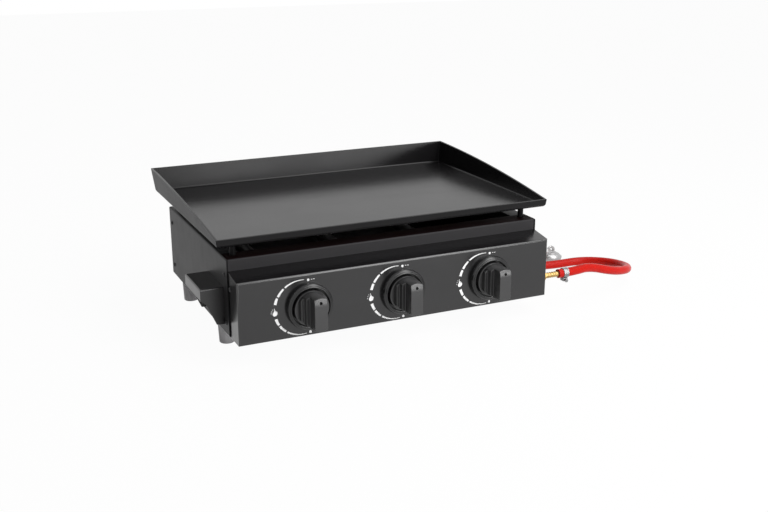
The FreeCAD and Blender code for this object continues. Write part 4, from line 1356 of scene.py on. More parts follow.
@dataclass
class DialMarks:
    """The printed marks round a knob: the arc of tapered strokes, the end dots and the flame."""

    centre: Point = (-11.8 * MM, -0.9 * MM)
    radius: float = 44.9 * MM
    gauge: float = 0.06 * MM
    strokes: tuple[Stroke, ...] = (
        Stroke(84.0, 127.0, 0.7 * MM, 2.8 * MM),
        Stroke(130.6, 150.0, 3.0 * MM, 3.8 * MM),
        Stroke(152.8, 166.5, 3.9 * MM, 4.6 * MM),
        Stroke(197.0, 212.0, 4.6 * MM, 3.9 * MM),
        Stroke(215.0, 233.0, 3.8 * MM, 3.0 * MM),
        Stroke(236.5, 279.5, 2.8 * MM, 0.7 * MM),
    )
    dot_angles: tuple[float, float] = (75.3, 287.3)
    dot_radius: float = 2.1 * MM
    dash_places: tuple[float, float] = (4.2 * MM, 8.2 * MM)
    dash_length: float = 2.2 * MM
    dash_width: float = 1.0 * MM
    dash_rise: float = 0.3 * MM
    flame_angle: float = 182.0
    flame_offset: Point = (0.6 * MM, -1.0 * MM)
    flame_height: float = 11.5 * MM
    flame_width: float = 8.4 * MM
    ray_angles: tuple[float, ...] = (100.0, 128.0, 156.0, 184.0)
    ray_start: Point = (5.2 * MM, 6.0 * MM)
    ray_end: Point = (7.0 * MM, 7.8 * MM)
    ray_width: float = 0.7 * MM
    stroke_steps: int = 12
    dot_sides: int = 20

    @staticmethod
    def around(centre: Point, reach: Point, turn: float) -> Point:
        """Gives the point at an angle in radians on an upright ellipse."""
        return centre[0] + math.cos(turn) * reach[0], centre[1] + math.sin(turn) * reach[1]

    def polar(self, degrees: float, radius: float) -> Point:
        """Gives a point at an angle and a radius about the arc's centre."""
        return self.around(self.centre, (radius, radius), math.radians(degrees))

    def stroke(self, mark: Stroke) -> list[Point]:
        """Outlines a tapered stroke.

        Args:
            mark: the stroke.

        Returns:
            The outline's points.
        """
        outer, inner = [], []
        for step in range(self.stroke_steps + 1):
            share = step / self.stroke_steps
            angle = mark.start + (mark.end - mark.start) * share
            half = (mark.start_width + (mark.end_width - mark.start_width) * share) / 2
            outer.append(self.polar(angle, self.radius + half))
            inner.append(self.polar(angle, self.radius - half))
        return outer + inner[::-1]

    def disc(self, centre: Point) -> list[Point]:
        """Outlines an end dot.

        Args:
            centre: the dot's middle.

        Returns:
            The outline's points.
        """
        reach = (self.dot_radius, self.dot_radius)
        turns = [math.tau * step / self.dot_sides for step in range(self.dot_sides)]
        return [self.around(centre, reach, turn) for turn in turns]

    @staticmethod
    def bar(start: Point, end: Point, width: float) -> list[Point]:
        """Outlines a straight bar between two points.

        Args:
            start: the middle of its one end.
            end: the middle of its other end.
            width: its width.

        Returns:
            The outline's points.
        """
        along = Vector((end[0] - start[0], end[1] - start[1])).normalized()
        side = Vector((-along.y, along.x)) * width / 2
        return [
            (start[0] + side.x, start[1] + side.y),
            (start[0] - side.x, start[1] - side.y),
            (end[0] - side.x, end[1] - side.y),
            (end[0] + side.x, end[1] + side.y),
        ]

    def flame(self, centre: Point) -> list[Point]:
        """Outlines a flame with two tongues.

        Args:
            centre: the flame's middle.

        Returns:
            The outline's points.
        """
        half, rise = self.flame_width / 2, self.flame_height / 2
        shape = (
            (-0.1, -1.0), (0.45, -0.9), (0.85, -0.6), (1.0, -0.2), (0.9, 0.15), (0.65, 0.45),
            (0.5, 0.2), (0.4, 0.05), (0.3, 0.45), (0.05, 0.8), (-0.25, 1.05), (-0.2, 0.7),
            (-0.35, 0.4), (-0.65, 0.1), (-0.9, -0.25), (-0.85, -0.6), (-0.55, -0.88),
        )
        return [(centre[0] + x * half, centre[1] + y * rise) for x, y in shape]

    def burning(self) -> list[list[Point]]:
        """Outlines the flame and the short rays beside it.

        Returns:
            The outlines.
        """
        across, up = self.polar(self.flame_angle, self.radius)
        centre = (across + self.flame_offset[0], up + self.flame_offset[1])
        outlines = [self.flame(centre)]
        for angle in self.ray_angles:
            turn = math.radians(angle)
            near, far = (self.around(centre, end, turn) for end in (self.ray_start, self.ray_end))
            outlines.append(self.bar(near, far, self.ray_width))
        return outlines

    def make(self) -> Workpiece:
        """Makes the marks.

        Returns:
            The marks, flat about the origin, up along Y and out along Z.
        """
        outlines = [self.stroke(mark) for mark in self.strokes]
        dots = [self.polar(angle, self.radius) for angle in self.dot_angles]
        outlines += [self.disc(dot) for dot in dots]
        level = dots[0][1] + self.dash_rise
        for across in self.dash_places:
            end = (across + self.dash_length, level)
            outlines.append(self.bar((across, level), end, self.dash_width))
        return Workpiece.printed("dial", outlines + self.burning(), self.gauge)


@dataclass
class Knob:
    """A knob: a skirted disc and a grip that narrows in steps and leans back at its top.

    Each tier is half the grip's width there and the height from which it is cut. Each slope is
    the place where the front starts to lean and its angle in degrees.
    """

    stem_radius: float = 4.0 * MM
    stem_reach: float = 30.0 * MM
    back: float = 6.3 * MM
    web: float = 2.0 * MM
    skirt: float = 23.2 * MM
    radius: float = 28.7 * MM
    disc_front: float = 15.0 * MM
    length: float = 53.0 * MM
    grip_radius: float = 27.0 * MM
    grip_rise: float = 1.3 * MM
    draft: float = 0.6 * MM
    tiers: tuple[tuple[float, float], ...] = (
        (10.6 * MM, 33.0 * MM),
        (16.4 * MM, 23.0 * MM),
        (21.4 * MM, 14.6 * MM),
    )
    grip_sink: float = 3.4 * MM
    slopes: tuple[tuple[float, float], ...] = (
        (15.0 * MM, 6.0),
        (19.5 * MM, 13.0),
        (24.0 * MM, 21.0),
    )
    edge: float = 0.8 * MM
    pointer_rise: float = 20.9 * MM
    pointer_radius: float = 2.3 * MM
    pointer_depth: float = 3.0 * MM

    def make(self) -> Workpiece:
        """Makes the knob.

        Returns:
            The knob about the origin, its axis along Z and its pointer towards Y.
        """
        grip = self.grip()
        disc = self.disc()
        disc.combine(grip, Meeting.WELD)
        bore = Workpiece.cylinder("bore", self.stem_radius, 0.0, self.stem_reach, 40)
        disc.combine(bore, Meeting.CUT)
        dimple = Workpiece.turned(
            "dimple",
            [
                (self.pointer_radius, self.length - self.pointer_depth),
                (self.pointer_radius, self.length - 0.9 * MM),
                (self.pointer_radius * 1.3, self.length + 0.3 * MM),
            ],
            sides=28,
        )
        dimple.move(shift(0.0, self.pointer_rise, 0.0))
        disc.combine(dimple, Meeting.CUT)
        disc.smooth(30.0)
        disc.rename("knob")
        return disc

    def grip(self) -> Workpiece:
        """Cuts the grip's tiers out of a tapered bar and rounds them.

        Returns:
            The grip.
        """
        foot, front = self.disc_front - self.grip_sink, self.length
        made = Workpiece.turned(
            "grip", [(self.grip_radius, foot), (self.grip_radius - self.draft, front)], sides=96
        )
        made.move(shift(0.0, self.grip_rise, 0.0))
        wide = self.radius * 1.2
        for half, floor in self.tiers:
            for hand in (-1, 1):
                near, far = sorted((half * hand, wide * hand))
                corner, end = (near, -wide, floor), (far, wide, front + CLEAR)
                cutter = Workpiece.block("flank", corner, end)
                made.combine(cutter, Meeting.CUT)
        level, last = front, self.slopes[0][0]
        drop = 0.0
        for rise, lean in self.slopes:
            level -= (rise - last) * drop
            cutter = Workpiece.block("slope", (-wide, 0.0, 0.0), (wide, wide, wide))
            cutter.move(shift(0.0, rise, level) @ Matrix.Rotation(-math.radians(lean), 4, "X"))
            made.combine(cutter, Meeting.CUT)
            last, drop = rise, math.tan(math.radians(lean))
        made.soften(self.edge, segments=3, angle=35.0)
        return made

    def disc(self) -> Workpiece:
        """Turns the disc with its hollow skirt.

        Returns:
            The disc.
        """
        radius, front = self.radius, self.disc_front
        return Workpiece.turned(
            "disc",
            [
                (self.skirt, self.back + self.web),
                (self.skirt, self.back + 0.3 * MM),
                (self.skirt + 0.3 * MM, self.back),
                (radius - 0.5 * MM, self.back),
                (radius, self.back + 0.5 * MM),
                (radius, front - 1.5 * MM),
                (radius - 0.15 * MM, front - 0.9 * MM),
                (radius - 0.5 * MM, front - 0.35 * MM),
                (radius - 1.1 * MM, front),
            ],
            sides=128,
        )

    def pointer(self) -> Workpiece:
        """Makes the inked dot at the bottom of the dimple.

        Returns:
            The dot.
        """
        floor = self.length - self.pointer_depth
        made = Workpiece.turned(
            "pointer",
            [
                (self.pointer_radius * 0.98, floor),
                (self.pointer_radius * 0.94, floor + 0.35 * MM),
                (self.pointer_radius * 0.6, floor + 0.48 * MM),
            ],
            sides=28,
        )
        made.smooth(40.0)
        made.move(shift(0.0, self.pointer_rise, 0.0))
        return made


@dataclass
class Bezel:
    """The moulded ring round a knob, with a rounded shoulder and a raised inner lip."""

    hole: float = 21.5 * MM
    radius: float = 38.5 * MM
    mouth: float = 31.3 * MM
    depth: float = 11.5 * MM
    floor: float = 1.0 * MM
    lip: float = 3.4 * MM
    groove: float = 1.1 * MM
    groove_width: float = 0.5 * MM
    side: float = 1.4 * MM
    shoulder_drop: float = 1.6 * MM
    shoulder_steps: int = 8

    def make(self) -> Workpiece:
        """Turns the ring.

        Returns:
            The ring about the origin, its face towards Z.
        """
        lip_edge = self.mouth + self.lip
        shoulder_rise = self.depth - self.groove - self.shoulder_drop
        inner = lip_edge + self.groove_width
        profile = [(self.hole, 0.0), (self.radius, 0.0), (self.radius, self.side)]
        for step in range(1, self.shoulder_steps + 1):
            turn = math.pi / 2 * step / self.shoulder_steps
            across = inner + (self.radius - inner) * math.cos(turn)
            profile.append((across, self.side + shoulder_rise * math.sin(turn)))
        crown = profile[-1][1]
        profile += [
            (lip_edge, crown - 0.1 * MM),
            (lip_edge - 0.3 * MM, self.depth - 0.9 * MM),
            (lip_edge - 0.8 * MM, self.depth - 0.25 * MM),
            (lip_edge - 1.5 * MM, self.depth),
            (self.mouth + 1.0 * MM, self.depth),
            (self.mouth + 0.3 * MM, self.depth - 0.25 * MM),
            (self.mouth, self.depth - 0.9 * MM),
            (self.mouth, self.floor),
            (self.hole, self.floor),
            (self.hole, 0.0),
        ]
        made = Workpiece.turned("bezel", profile, sides=128)
        made.smooth(34.0)
        return made


@dataclass
class ControlBox:
    """The folded control box with its brackets and screws, dials, bezels, knobs and valves."""

    fitter: Fitter
    fasteners: Fasteners
    gauge: float = 1.5 * MM
    bracket_hole: float = 9.0 * MM
    bracket_level: float = 82.0 * MM
    valve_screw_pitch: float = 34.0 * MM
    spring_wire: float = 0.7 * MM
    spring_turns: int = 5
    push_travel: float = 5.0 * MM

    def build(self) -> None:
        """Makes the box and what stands on and in it."""
        metal = SheetMetal(self.fitter)
        metal.dress("control_box", CONTROL_COAT)
        metal.dress("box_brackets", POWDER_COAT)
        self.screws()
        self.stations()
        self.springs()
        valve = {"body": DIE_CAST, "cap": ZINC, "plug": BRASS, "stem": TURNED_STEEL}
        for part, finish in valve.items():
            self.fitter.paint(finish, *[f"valve_{part}_{side}" for side in SIDES])
        self.fitter.paint(BRASS, "gas_jets")

    def panel_spot(self, side: str) -> Vector:
        """Gives the place on the panel's face where a knob's axis leaves it."""
        spot = middle(f"knob_{side}")
        return Vector((spot.x, low("control_box").y, spot.z))

    def screws(self) -> None:
        """Puts in the brackets' screws and the valves' screws."""
        near, far = low("control_box"), high("control_box")
        level = near.z + self.bracket_level
        inset = self.gauge + self.bracket_hole
        places = []
        for side, across in ((-1, near.x), (1, far.x)):
            places.append((X_AXIS * side, Vector((across, far.y - self.bracket_hole, level))))
            inner = across - side * inset
            places.append((Y_AXIS, Vector((inner, far.y + self.gauge, level))))
        screw = self.fasteners.screw()
        self.fasteners.place("box_screw_set", screw, places, PAINTED_SCREW, "box_screws")
        places = [
            (-Y_AXIS, self.panel_spot(side) + X_AXIS * self.valve_screw_pitch / 2 * hand)
            for side in SIDES
            for hand in (-1, 1)
        ]
        self.fasteners.place("valve_screw_set", screw, places, ZINC, "valve_screws")
        screw.discard()

    def stations(self) -> None:
        """Sets a dial, a bezel and a knob round each valve's axis."""
        bezel, dial, shape = Bezel().make(), DialMarks().make(), Knob()
        knob, pointer = shape.make(), shape.pointer()
        for side in SIDES:
            move = facing(-Y_AXIS, self.panel_spot(side))
            ring = bezel.copied(f"moulded_bezel_{side}", move)
            self.fitter.fit(ring, BEZEL_PLASTIC, STATION, [f"knob_bezel_{side}"])
            self.fitter.fit(dial.copied(f"dial_marks_{side}", move), DIAL_INK, STATION)
            turned = f"knob_set_{side}"
            grip = knob.copied(f"moulded_knob_{side}", move)
            self.fitter.fit(grip, KNOB_PLASTIC, turned, [f"knob_{side}"])
            self.fitter.fit(pointer.copied(f"knob_pointer_{side}", move), POINTER_INK, turned)
        for pattern in (bezel, dial, knob, pointer):
            pattern.discard()

    def springs(self) -> None:
        """Winds the three valve springs and sets each on its valve's turning body."""
        near, far = low("valve_spring_left"), high("valve_spring_left")
        span, outer = far.y - near.y, (far.x - near.x) / 2
        spring = Workpiece.coil(
            "spring", outer - self.spring_wire, self.spring_wire, span, self.spring_turns
        )
        spring.smooth(40.0)
        for side in SIDES:
            node = f"valve_spring_{side}"
            spot = middle(node)
            place = Vector((spot.x, high(node).y, spot.z))
            wound = spring.copied(f"wound_spring_{side}", facing(-Y_AXIS, place))
            piece = self.fitter.fit(wound, TURNED_STEEL, f"valve_turn_{side}", [node])
            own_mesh(piece)
        spring.discard()


@dataclass
class Burners:
    """The three burner tubes and the igniters beside them."""

    fitter: Fitter
    sleeve_radius: float = 3.5 * MM
    rim_radius: float = 5.5 * MM
    sleeve_back: float = 8.0 * MM
    sleeve_front: float = 72.0 * MM
    rim_start: float = 1.5 * MM
    rim_width: float = 3.0 * MM
    rod_radius: float = 1.17 * MM
    rod_end: float = 92.0 * MM

    def build(self) -> None:
        """Makes the tubes and the igniters."""
        metal = SheetMetal(self.fitter)
        for side in SIDES:
            # The tubes take the near-black steel that paints their shade.
            metal.dress(f"burner_{side}", SHADED_BURNER_STEEL)
        self.igniters()

    def igniters(self) -> None:
        """Makes the ceramic sleeve and its steel electrode once, and copies them."""
        radius, rim = self.sleeve_radius, self.rim_radius
        rim_end = self.rim_start + self.rim_width
        front = self.sleeve_front
        sleeve = Workpiece.turned(
            "sleeve",
            [
                (radius * 0.8, -self.sleeve_back),
                (radius, -self.sleeve_back + 0.7 * MM),
                (radius, self.rim_start),
                (rim - 0.3 * MM, self.rim_start),
                (rim, self.rim_start + 0.3 * MM),
                (rim, rim_end - 0.5 * MM),
                (rim - 0.5 * MM, rim_end),
                (radius, rim_end),
                (radius, front - 0.8 * MM),
                (radius * 0.8, front),
            ],
            sides=36,
        )
        rod = Workpiece.turned(
            "rod",
            [
                (self.rod_radius, front),
                (self.rod_radius, self.rod_end - 0.6 * MM),
                (self.rod_radius * 0.4, self.rod_end),
            ],
            sides=20,
        )
        sleeve.smooth(35.0)
        rod.smooth(35.0)
        wall = low("front_wall").y
        for side in SIDES:
            node = f"igniter_{side}"
            spot = middle(node)
            move = facing(Y_AXIS, Vector((spot.x, wall, spot.z)))
            for pattern, name, finish in (
                (sleeve, f"igniter_sleeve_{side}", CERAMIC),
                (rod, f"electrode_{side}", ELECTRODE),
            ):
                self.fitter.fit(pattern.copied(name, move), finish, STATION, [node])
        sleeve.discard()
        rod.discard()


# The gas line


# The hose's route in millimetres, its second number from the plate's front edge. The points are
# those of the part's source, a few of them moved by up to 13 mm after the photograph.
ROUTE: tuple[Triple, ...] = (
    (318.5, -12, 59.5),
    (354, -12, 59.5),
    (391, -4, 60.5),
    (452, 3, 41),
    (504, 25, 30),
    (534, 70, 20),
    (530, 122, 14),
    (492, 160, 10.5),
    (426, 163, 8.4),
    (375, 180, 8.4),
    (326, 217, 8.4),
    (299, 268, 8.4),
    (302, 322, 8.4),
    (334, 363, 8.4),
    (384, 378, 8.4),
    (433, 361, 9.2),
    (463, 319, 12),
    (463, 260, 12),
)


def face_number(place: Vector, sides: int) -> int:
    """Tells which of a round piece's faces lies at a place about the Z axis."""
    return round(math.degrees(math.atan2(place.y, place.x)) / (360.0 / sides) - 0.5)


@dataclass
class HoseClamp:
    """A worm-drive clamp: a slotted band, the housing on it and the screw in the housing."""

    inner: float = 8.0 * MM
    band: float = 1.1 * MM
    width: float = 10.0 * MM
    chamfer: float = 0.2 * MM
    slot_start: float = 2.4 * MM
    slot_step: int = 3
    slot_margin: float = 0.12 * MM
    slot_depth: float = 0.35 * MM
    sides: int = 72
    housing_width: float = 10.0 * MM
    housing_length: float = 11.0 * MM
    housing_rise: float = 6.0 * MM
    worm_rise: float = 3.5 * MM
    worm_radius: float = 3.0 * MM
    worm_start: float = -9.0 * MM
    worm_end: float = 7.0 * MM
    head_width: float = 3.2 * MM
    head_slot_half: float = 0.4 * MM
    head_slot_depth: float = 1.0 * MM

    def make(self) -> Workpiece:
        """Makes the clamp.

        Returns:
            The clamp about the origin, its axis along Z and its housing towards Y.
        """
        outer, half = self.inner + self.band, self.width / 2
        band = Workpiece.turned(
            "band",
            [
                (self.inner, -half),
                (outer - self.chamfer, -half),
                (outer, -half + self.chamfer),
                (outer, -half + self.slot_start),
                (outer, half - self.slot_start),
                (outer, half - self.chamfer),
                (outer - self.chamfer, half),
                (self.inner, half),
                (self.inner, -half),
            ],
            sides=self.sides,
        )
        with band.shaping():
            band.sink(self.on_slot, self.slot_margin, self.slot_depth)
        base = self.inner + self.band / 2
        long, wide = self.housing_length / 2, self.housing_width / 2
        housing = Workpiece.block(
            "housing", (-wide, base, -long * 0.9), (wide, base + self.housing_rise, long * 0.9)
        )
        housing.soften(0.9 * MM, segments=3)
        band.combine(housing, Meeting.WELD)
        self.add_worm(band, outer + self.worm_rise)
        band.smooth(32.0)
        return band

    def on_slot(self, place: Vector, _normal: Vector) -> bool:
        """Tells whether a slot is pressed into one of the band's faces.

        Args:
            place: the face's middle.

        Returns:
            Whether it is one of the outer faces between the edges, away from the housing, that
            has a slot.
        """
        outside = math.hypot(place.x, place.y) >= self.inner + self.band * 0.8
        if not outside or abs(place.z) > self.width * 0.2:
            return False
        return face_number(place, self.sides) % self.slot_step == 0 and place.y < self.inner * 0.5

    def add_worm(self, band: Workpiece, level: float) -> None:
        """Puts the screw through the housing, with its slotted hexagonal head.

        Args:
            band: the band, which takes up the screw.
            level: how far the screw's axis is from the band's.
        """
        radius = self.worm_radius
        head_end = self.worm_start + self.head_width
        worm = Workpiece.turned(
            "worm",
            [
                (radius * 0.7, self.worm_end),
                (radius * 0.85, self.worm_end - 0.6 * MM),
                (radius * 0.85, head_end),
            ],
            sides=32,
        )
        head = Workpiece.cylinder("head", radius * 1.12, self.worm_start, head_end + 0.5 * MM, 6)
        head.soften(0.35 * MM, segments=2)
        slot = Workpiece.block(
            "slot",
            (-self.head_slot_half, -radius * 2, self.worm_start - CLEAR),
            (self.head_slot_half, radius * 2, self.worm_start + self.head_slot_depth),
        )
        head.combine(slot, Meeting.CUT)
        worm.combine(head, Meeting.WELD)
        worm.move(facing(X_AXIS, Vector((0.0, level, 0.0))))
        band.combine(worm, Meeting.WELD)


@dataclass
class Regulator:
    """The die-cast gas regulator with its crimped cover, hose barb, neck and eye."""

    dial_radius: float = 22.5 * MM
    dial_edge: float = 7.0 * MM
    boss_radius: float = 12.0 * MM
    boss_height: float = 14.5 * MM
    arm_level: float = 12.0 * MM
    arm_radius: float = 7.0 * MM
    arm_length: float = 38.0 * MM
    barb_radius: float = 5.0 * MM
    barb_length: float = 22.0 * MM
    neck_level: float = 17.0 * MM
    neck_radius: float = 8.0 * MM
    neck_end: float = 47.0 * MM
    shoulder_radius: float = 11.0 * MM
    shoulder_end: float = 26.5 * MM
    nose_radius: float = 10.3 * MM
    nose_start: float = 44.8 * MM
    eye_radius: float = 9.0 * MM
    eye_hole: float = 4.3 * MM
    eye_level: float = 18.5 * MM
    eye_gauge: float = 3.5 * MM
    eye_chamfer: float = 0.8 * MM
    vent_radius: float = 1.0 * MM
    vent_place: Point = (16.0 * MM, -6.0 * MM)

    def make(self) -> Workpiece:
        """Makes the casing.

        Returns:
            The casing about the middle of its dome, standing on the origin.
        """
        casing = self.dome()
        for part in (self.arm, self.neck, self.eye):
            casing.combine(part(), Meeting.WELD)
        vent = Workpiece.cylinder("vent", self.vent_radius, self.dial_edge, self.boss_height, 16)
        vent.move(shift(*self.vent_place, 0.0))
        casing.combine(vent, Meeting.CUT)
        casing.smooth(35.0)
        return casing

    def dome(self) -> Workpiece:
        """Turns the low dome with its crimped rim.

        Returns:
            The dome.
        """
        wide, edge = self.dial_radius, self.dial_edge
        base = low("regulator_body").z
        return Workpiece.turned(
            "dome",
            [
                (wide - 2.2 * MM, base),
                (wide - 1.2 * MM, base + 0.4 * MM),
                (wide - 0.8 * MM, base + 1.4 * MM),
                (wide - 0.8 * MM, edge - 3.6 * MM),
                (wide - 0.3 * MM, edge - 3.4 * MM),
                (wide, edge - 2.8 * MM),
                (wide, edge - 1.0 * MM),
                (wide - 0.3 * MM, edge - 0.3 * MM),
                (wide - 1.0 * MM, edge),
                (wide - 2.4 * MM, edge + 0.1 * MM),
                (wide - 2.8 * MM, edge + 0.8 * MM),
                (wide - 3.5 * MM, edge + 2.2 * MM),
                (wide - 4.9 * MM, edge + 3.8 * MM),
                (wide - 6.8 * MM, edge + 5.0 * MM),
                (self.boss_radius + 1.4 * MM, self.boss_height - 2.0 * MM),
                (self.boss_radius + 0.2 * MM, self.boss_height - 1.8 * MM),
                (self.boss_radius, self.boss_height - 1.4 * MM),
                (self.boss_radius, self.boss_height - 0.7 * MM),
                (self.boss_radius - 0.3 * MM, self.boss_height - 0.2 * MM),
                (self.boss_radius - 1.0 * MM, self.boss_height),
            ],
            sides=96,
        )

    def arm(self) -> Workpiece:
        """Turns the arm towards the back, with the barb that the hose grips.

        Returns:
            The arm.
        """
        radius, barb = self.arm_radius, self.barb_radius
        start, end = self.arm_length, self.arm_length + self.barb_length
        profile = [(radius, 0.0), (radius, start - 0.6 * MM), (radius - 0.6 * MM, start)]
        level = start + 2.0 * MM
        while level < end - 4.0 * MM:
            profile += [
                (barb * 0.9, level),
                (barb, level + 0.2 * MM),
                (barb * 0.9, level + 2.6 * MM),
            ]
            level += 4.0 * MM
        profile += [(barb * 0.9, end - 0.8 * MM), (barb * 0.7, end)]
        made = Workpiece.turned("arm", profile, sides=48)
        made.move(facing(Y_AXIS, Vector((0.0, 0.0, self.arm_level))))
        return made

    def neck(self) -> Workpiece:
        """Turns the neck towards the bottle, with the nose that holds the union nut.

        Returns:
            The neck.
        """
        made = Workpiece.turned(
            "neck",
            [
                (self.shoulder_radius - 1.2 * MM, self.boss_radius),
                (self.shoulder_radius - 0.3 * MM, self.boss_radius + 0.4 * MM),
                (self.shoulder_radius, self.boss_radius + 1.3 * MM),
                (self.shoulder_radius, self.shoulder_end - 1.2 * MM),
                (self.shoulder_radius - 0.4 * MM, self.shoulder_end - 0.4 * MM),
                (self.shoulder_radius - 1.2 * MM, self.shoulder_end),
                (self.neck_radius, self.shoulder_end + 0.5 * MM),
                (self.neck_radius, self.nose_start),
                (self.nose_radius, self.nose_start),
                (self.nose_radius, self.neck_end - 0.6 * MM),
                (self.nose_radius - 0.6 * MM, self.neck_end),
            ],
            sides=64,
        )
        made.move(facing(-X_AXIS, Vector((0.0, 0.0, self.neck_level))))
        return made

    def eye(self) -> Workpiece:
        """Turns the small lifting eye that stands on the boss.

        Returns:
            The eye.
        """
        half, ring = self.eye_gauge / 2, self.eye_chamfer
        made = Workpiece.turned(
            "eye",
            [
                (self.eye_hole, -half + ring),
                (self.eye_hole + ring, -half),
                (self.eye_radius - ring, -half),
                (self.eye_radius, -half + ring),
                (self.eye_radius, half - ring),
                (self.eye_radius - ring, half),
                (self.eye_hole + ring, half),
                (self.eye_hole, half - ring),
                (self.eye_hole, -half + ring),
            ],
            sides=48,
        )
        made.move(facing(-Y_AXIS, Vector((0.0, 0.0, self.eye_level))))
        return made


@dataclass
class UnionNut:
    """The round nut that joins the regulator to the bottle, fluted for the hand."""

    radius: float = 15.5 * MM
    collar_bore: float = 8.06 * MM
    bore: float = 10.9 * MM
    room_bore: float = 11.5 * MM
    length: float = 18.5 * MM
    collar: float = 3.0 * MM
    thread: float = 12.0 * MM
    thread_turns: int = 8
    thread_depth: float = 0.45 * MM
    flutes: int = 20
    flute_faces: int = 4
    flute_margin: float = 0.2 * MM
    flute_depth: float = 0.55 * MM

    def make(self) -> Workpiece:
        """Makes the nut.

        Returns:
            The nut about the Z axis from the origin up, its collar first.
        """
        top, seat = self.length, self.length - self.thread
        profile = [
            (self.collar_bore, 0.0),
            (self.radius - 1.6 * MM, 0.0),
            (self.radius - 0.7 * MM, 0.4 * MM),
            (self.radius, 1.6 * MM),
            (self.radius, 3.2 * MM),
            (self.radius, top - 3.2 * MM),
            (self.radius, top - 1.6 * MM),
            (self.radius - 0.7 * MM, top - 0.4 * MM),
            (self.radius - 1.6 * MM, top),
            (self.bore, top),
        ]
        pitch = (self.thread - 1.0 * MM) / self.thread_turns
        for turn in range(self.thread_turns):
            level = top - 0.5 * MM - turn * pitch
            profile.append((self.bore, level))
            profile.append((self.bore + self.thread_depth, level - pitch / 2))
        profile += [
            (self.bore, seat + 0.3 * MM),
            (self.room_bore, seat),
            (self.room_bore, self.collar),
            (self.collar_bore, self.collar),
            (self.collar_bore, 0.0),
        ]
        made = Workpiece.turned("nut", profile, sides=self.flutes * self.flute_faces)
        with made.shaping():
            made.sink(self.on_flute, self.flute_margin, self.flute_depth)
        made.smooth(32.0)
        return made

    def on_flute(self, place: Vector, _normal: Vector) -> bool:
        """Tells whether a flute is pressed into one of the nut's faces.

        Args:
            place: the face's middle.

        Returns:
            Whether it is the one in every few long faces round the outside that has a flute.
        """
        outside = math.hypot(place.x, place.y) >= self.radius - 0.3 * MM
        if not outside or abs(place.z - self.length / 2) > self.length * 0.15:
            return False
        return face_number(place, self.flutes * self.flute_faces) % self.flute_faces == 0


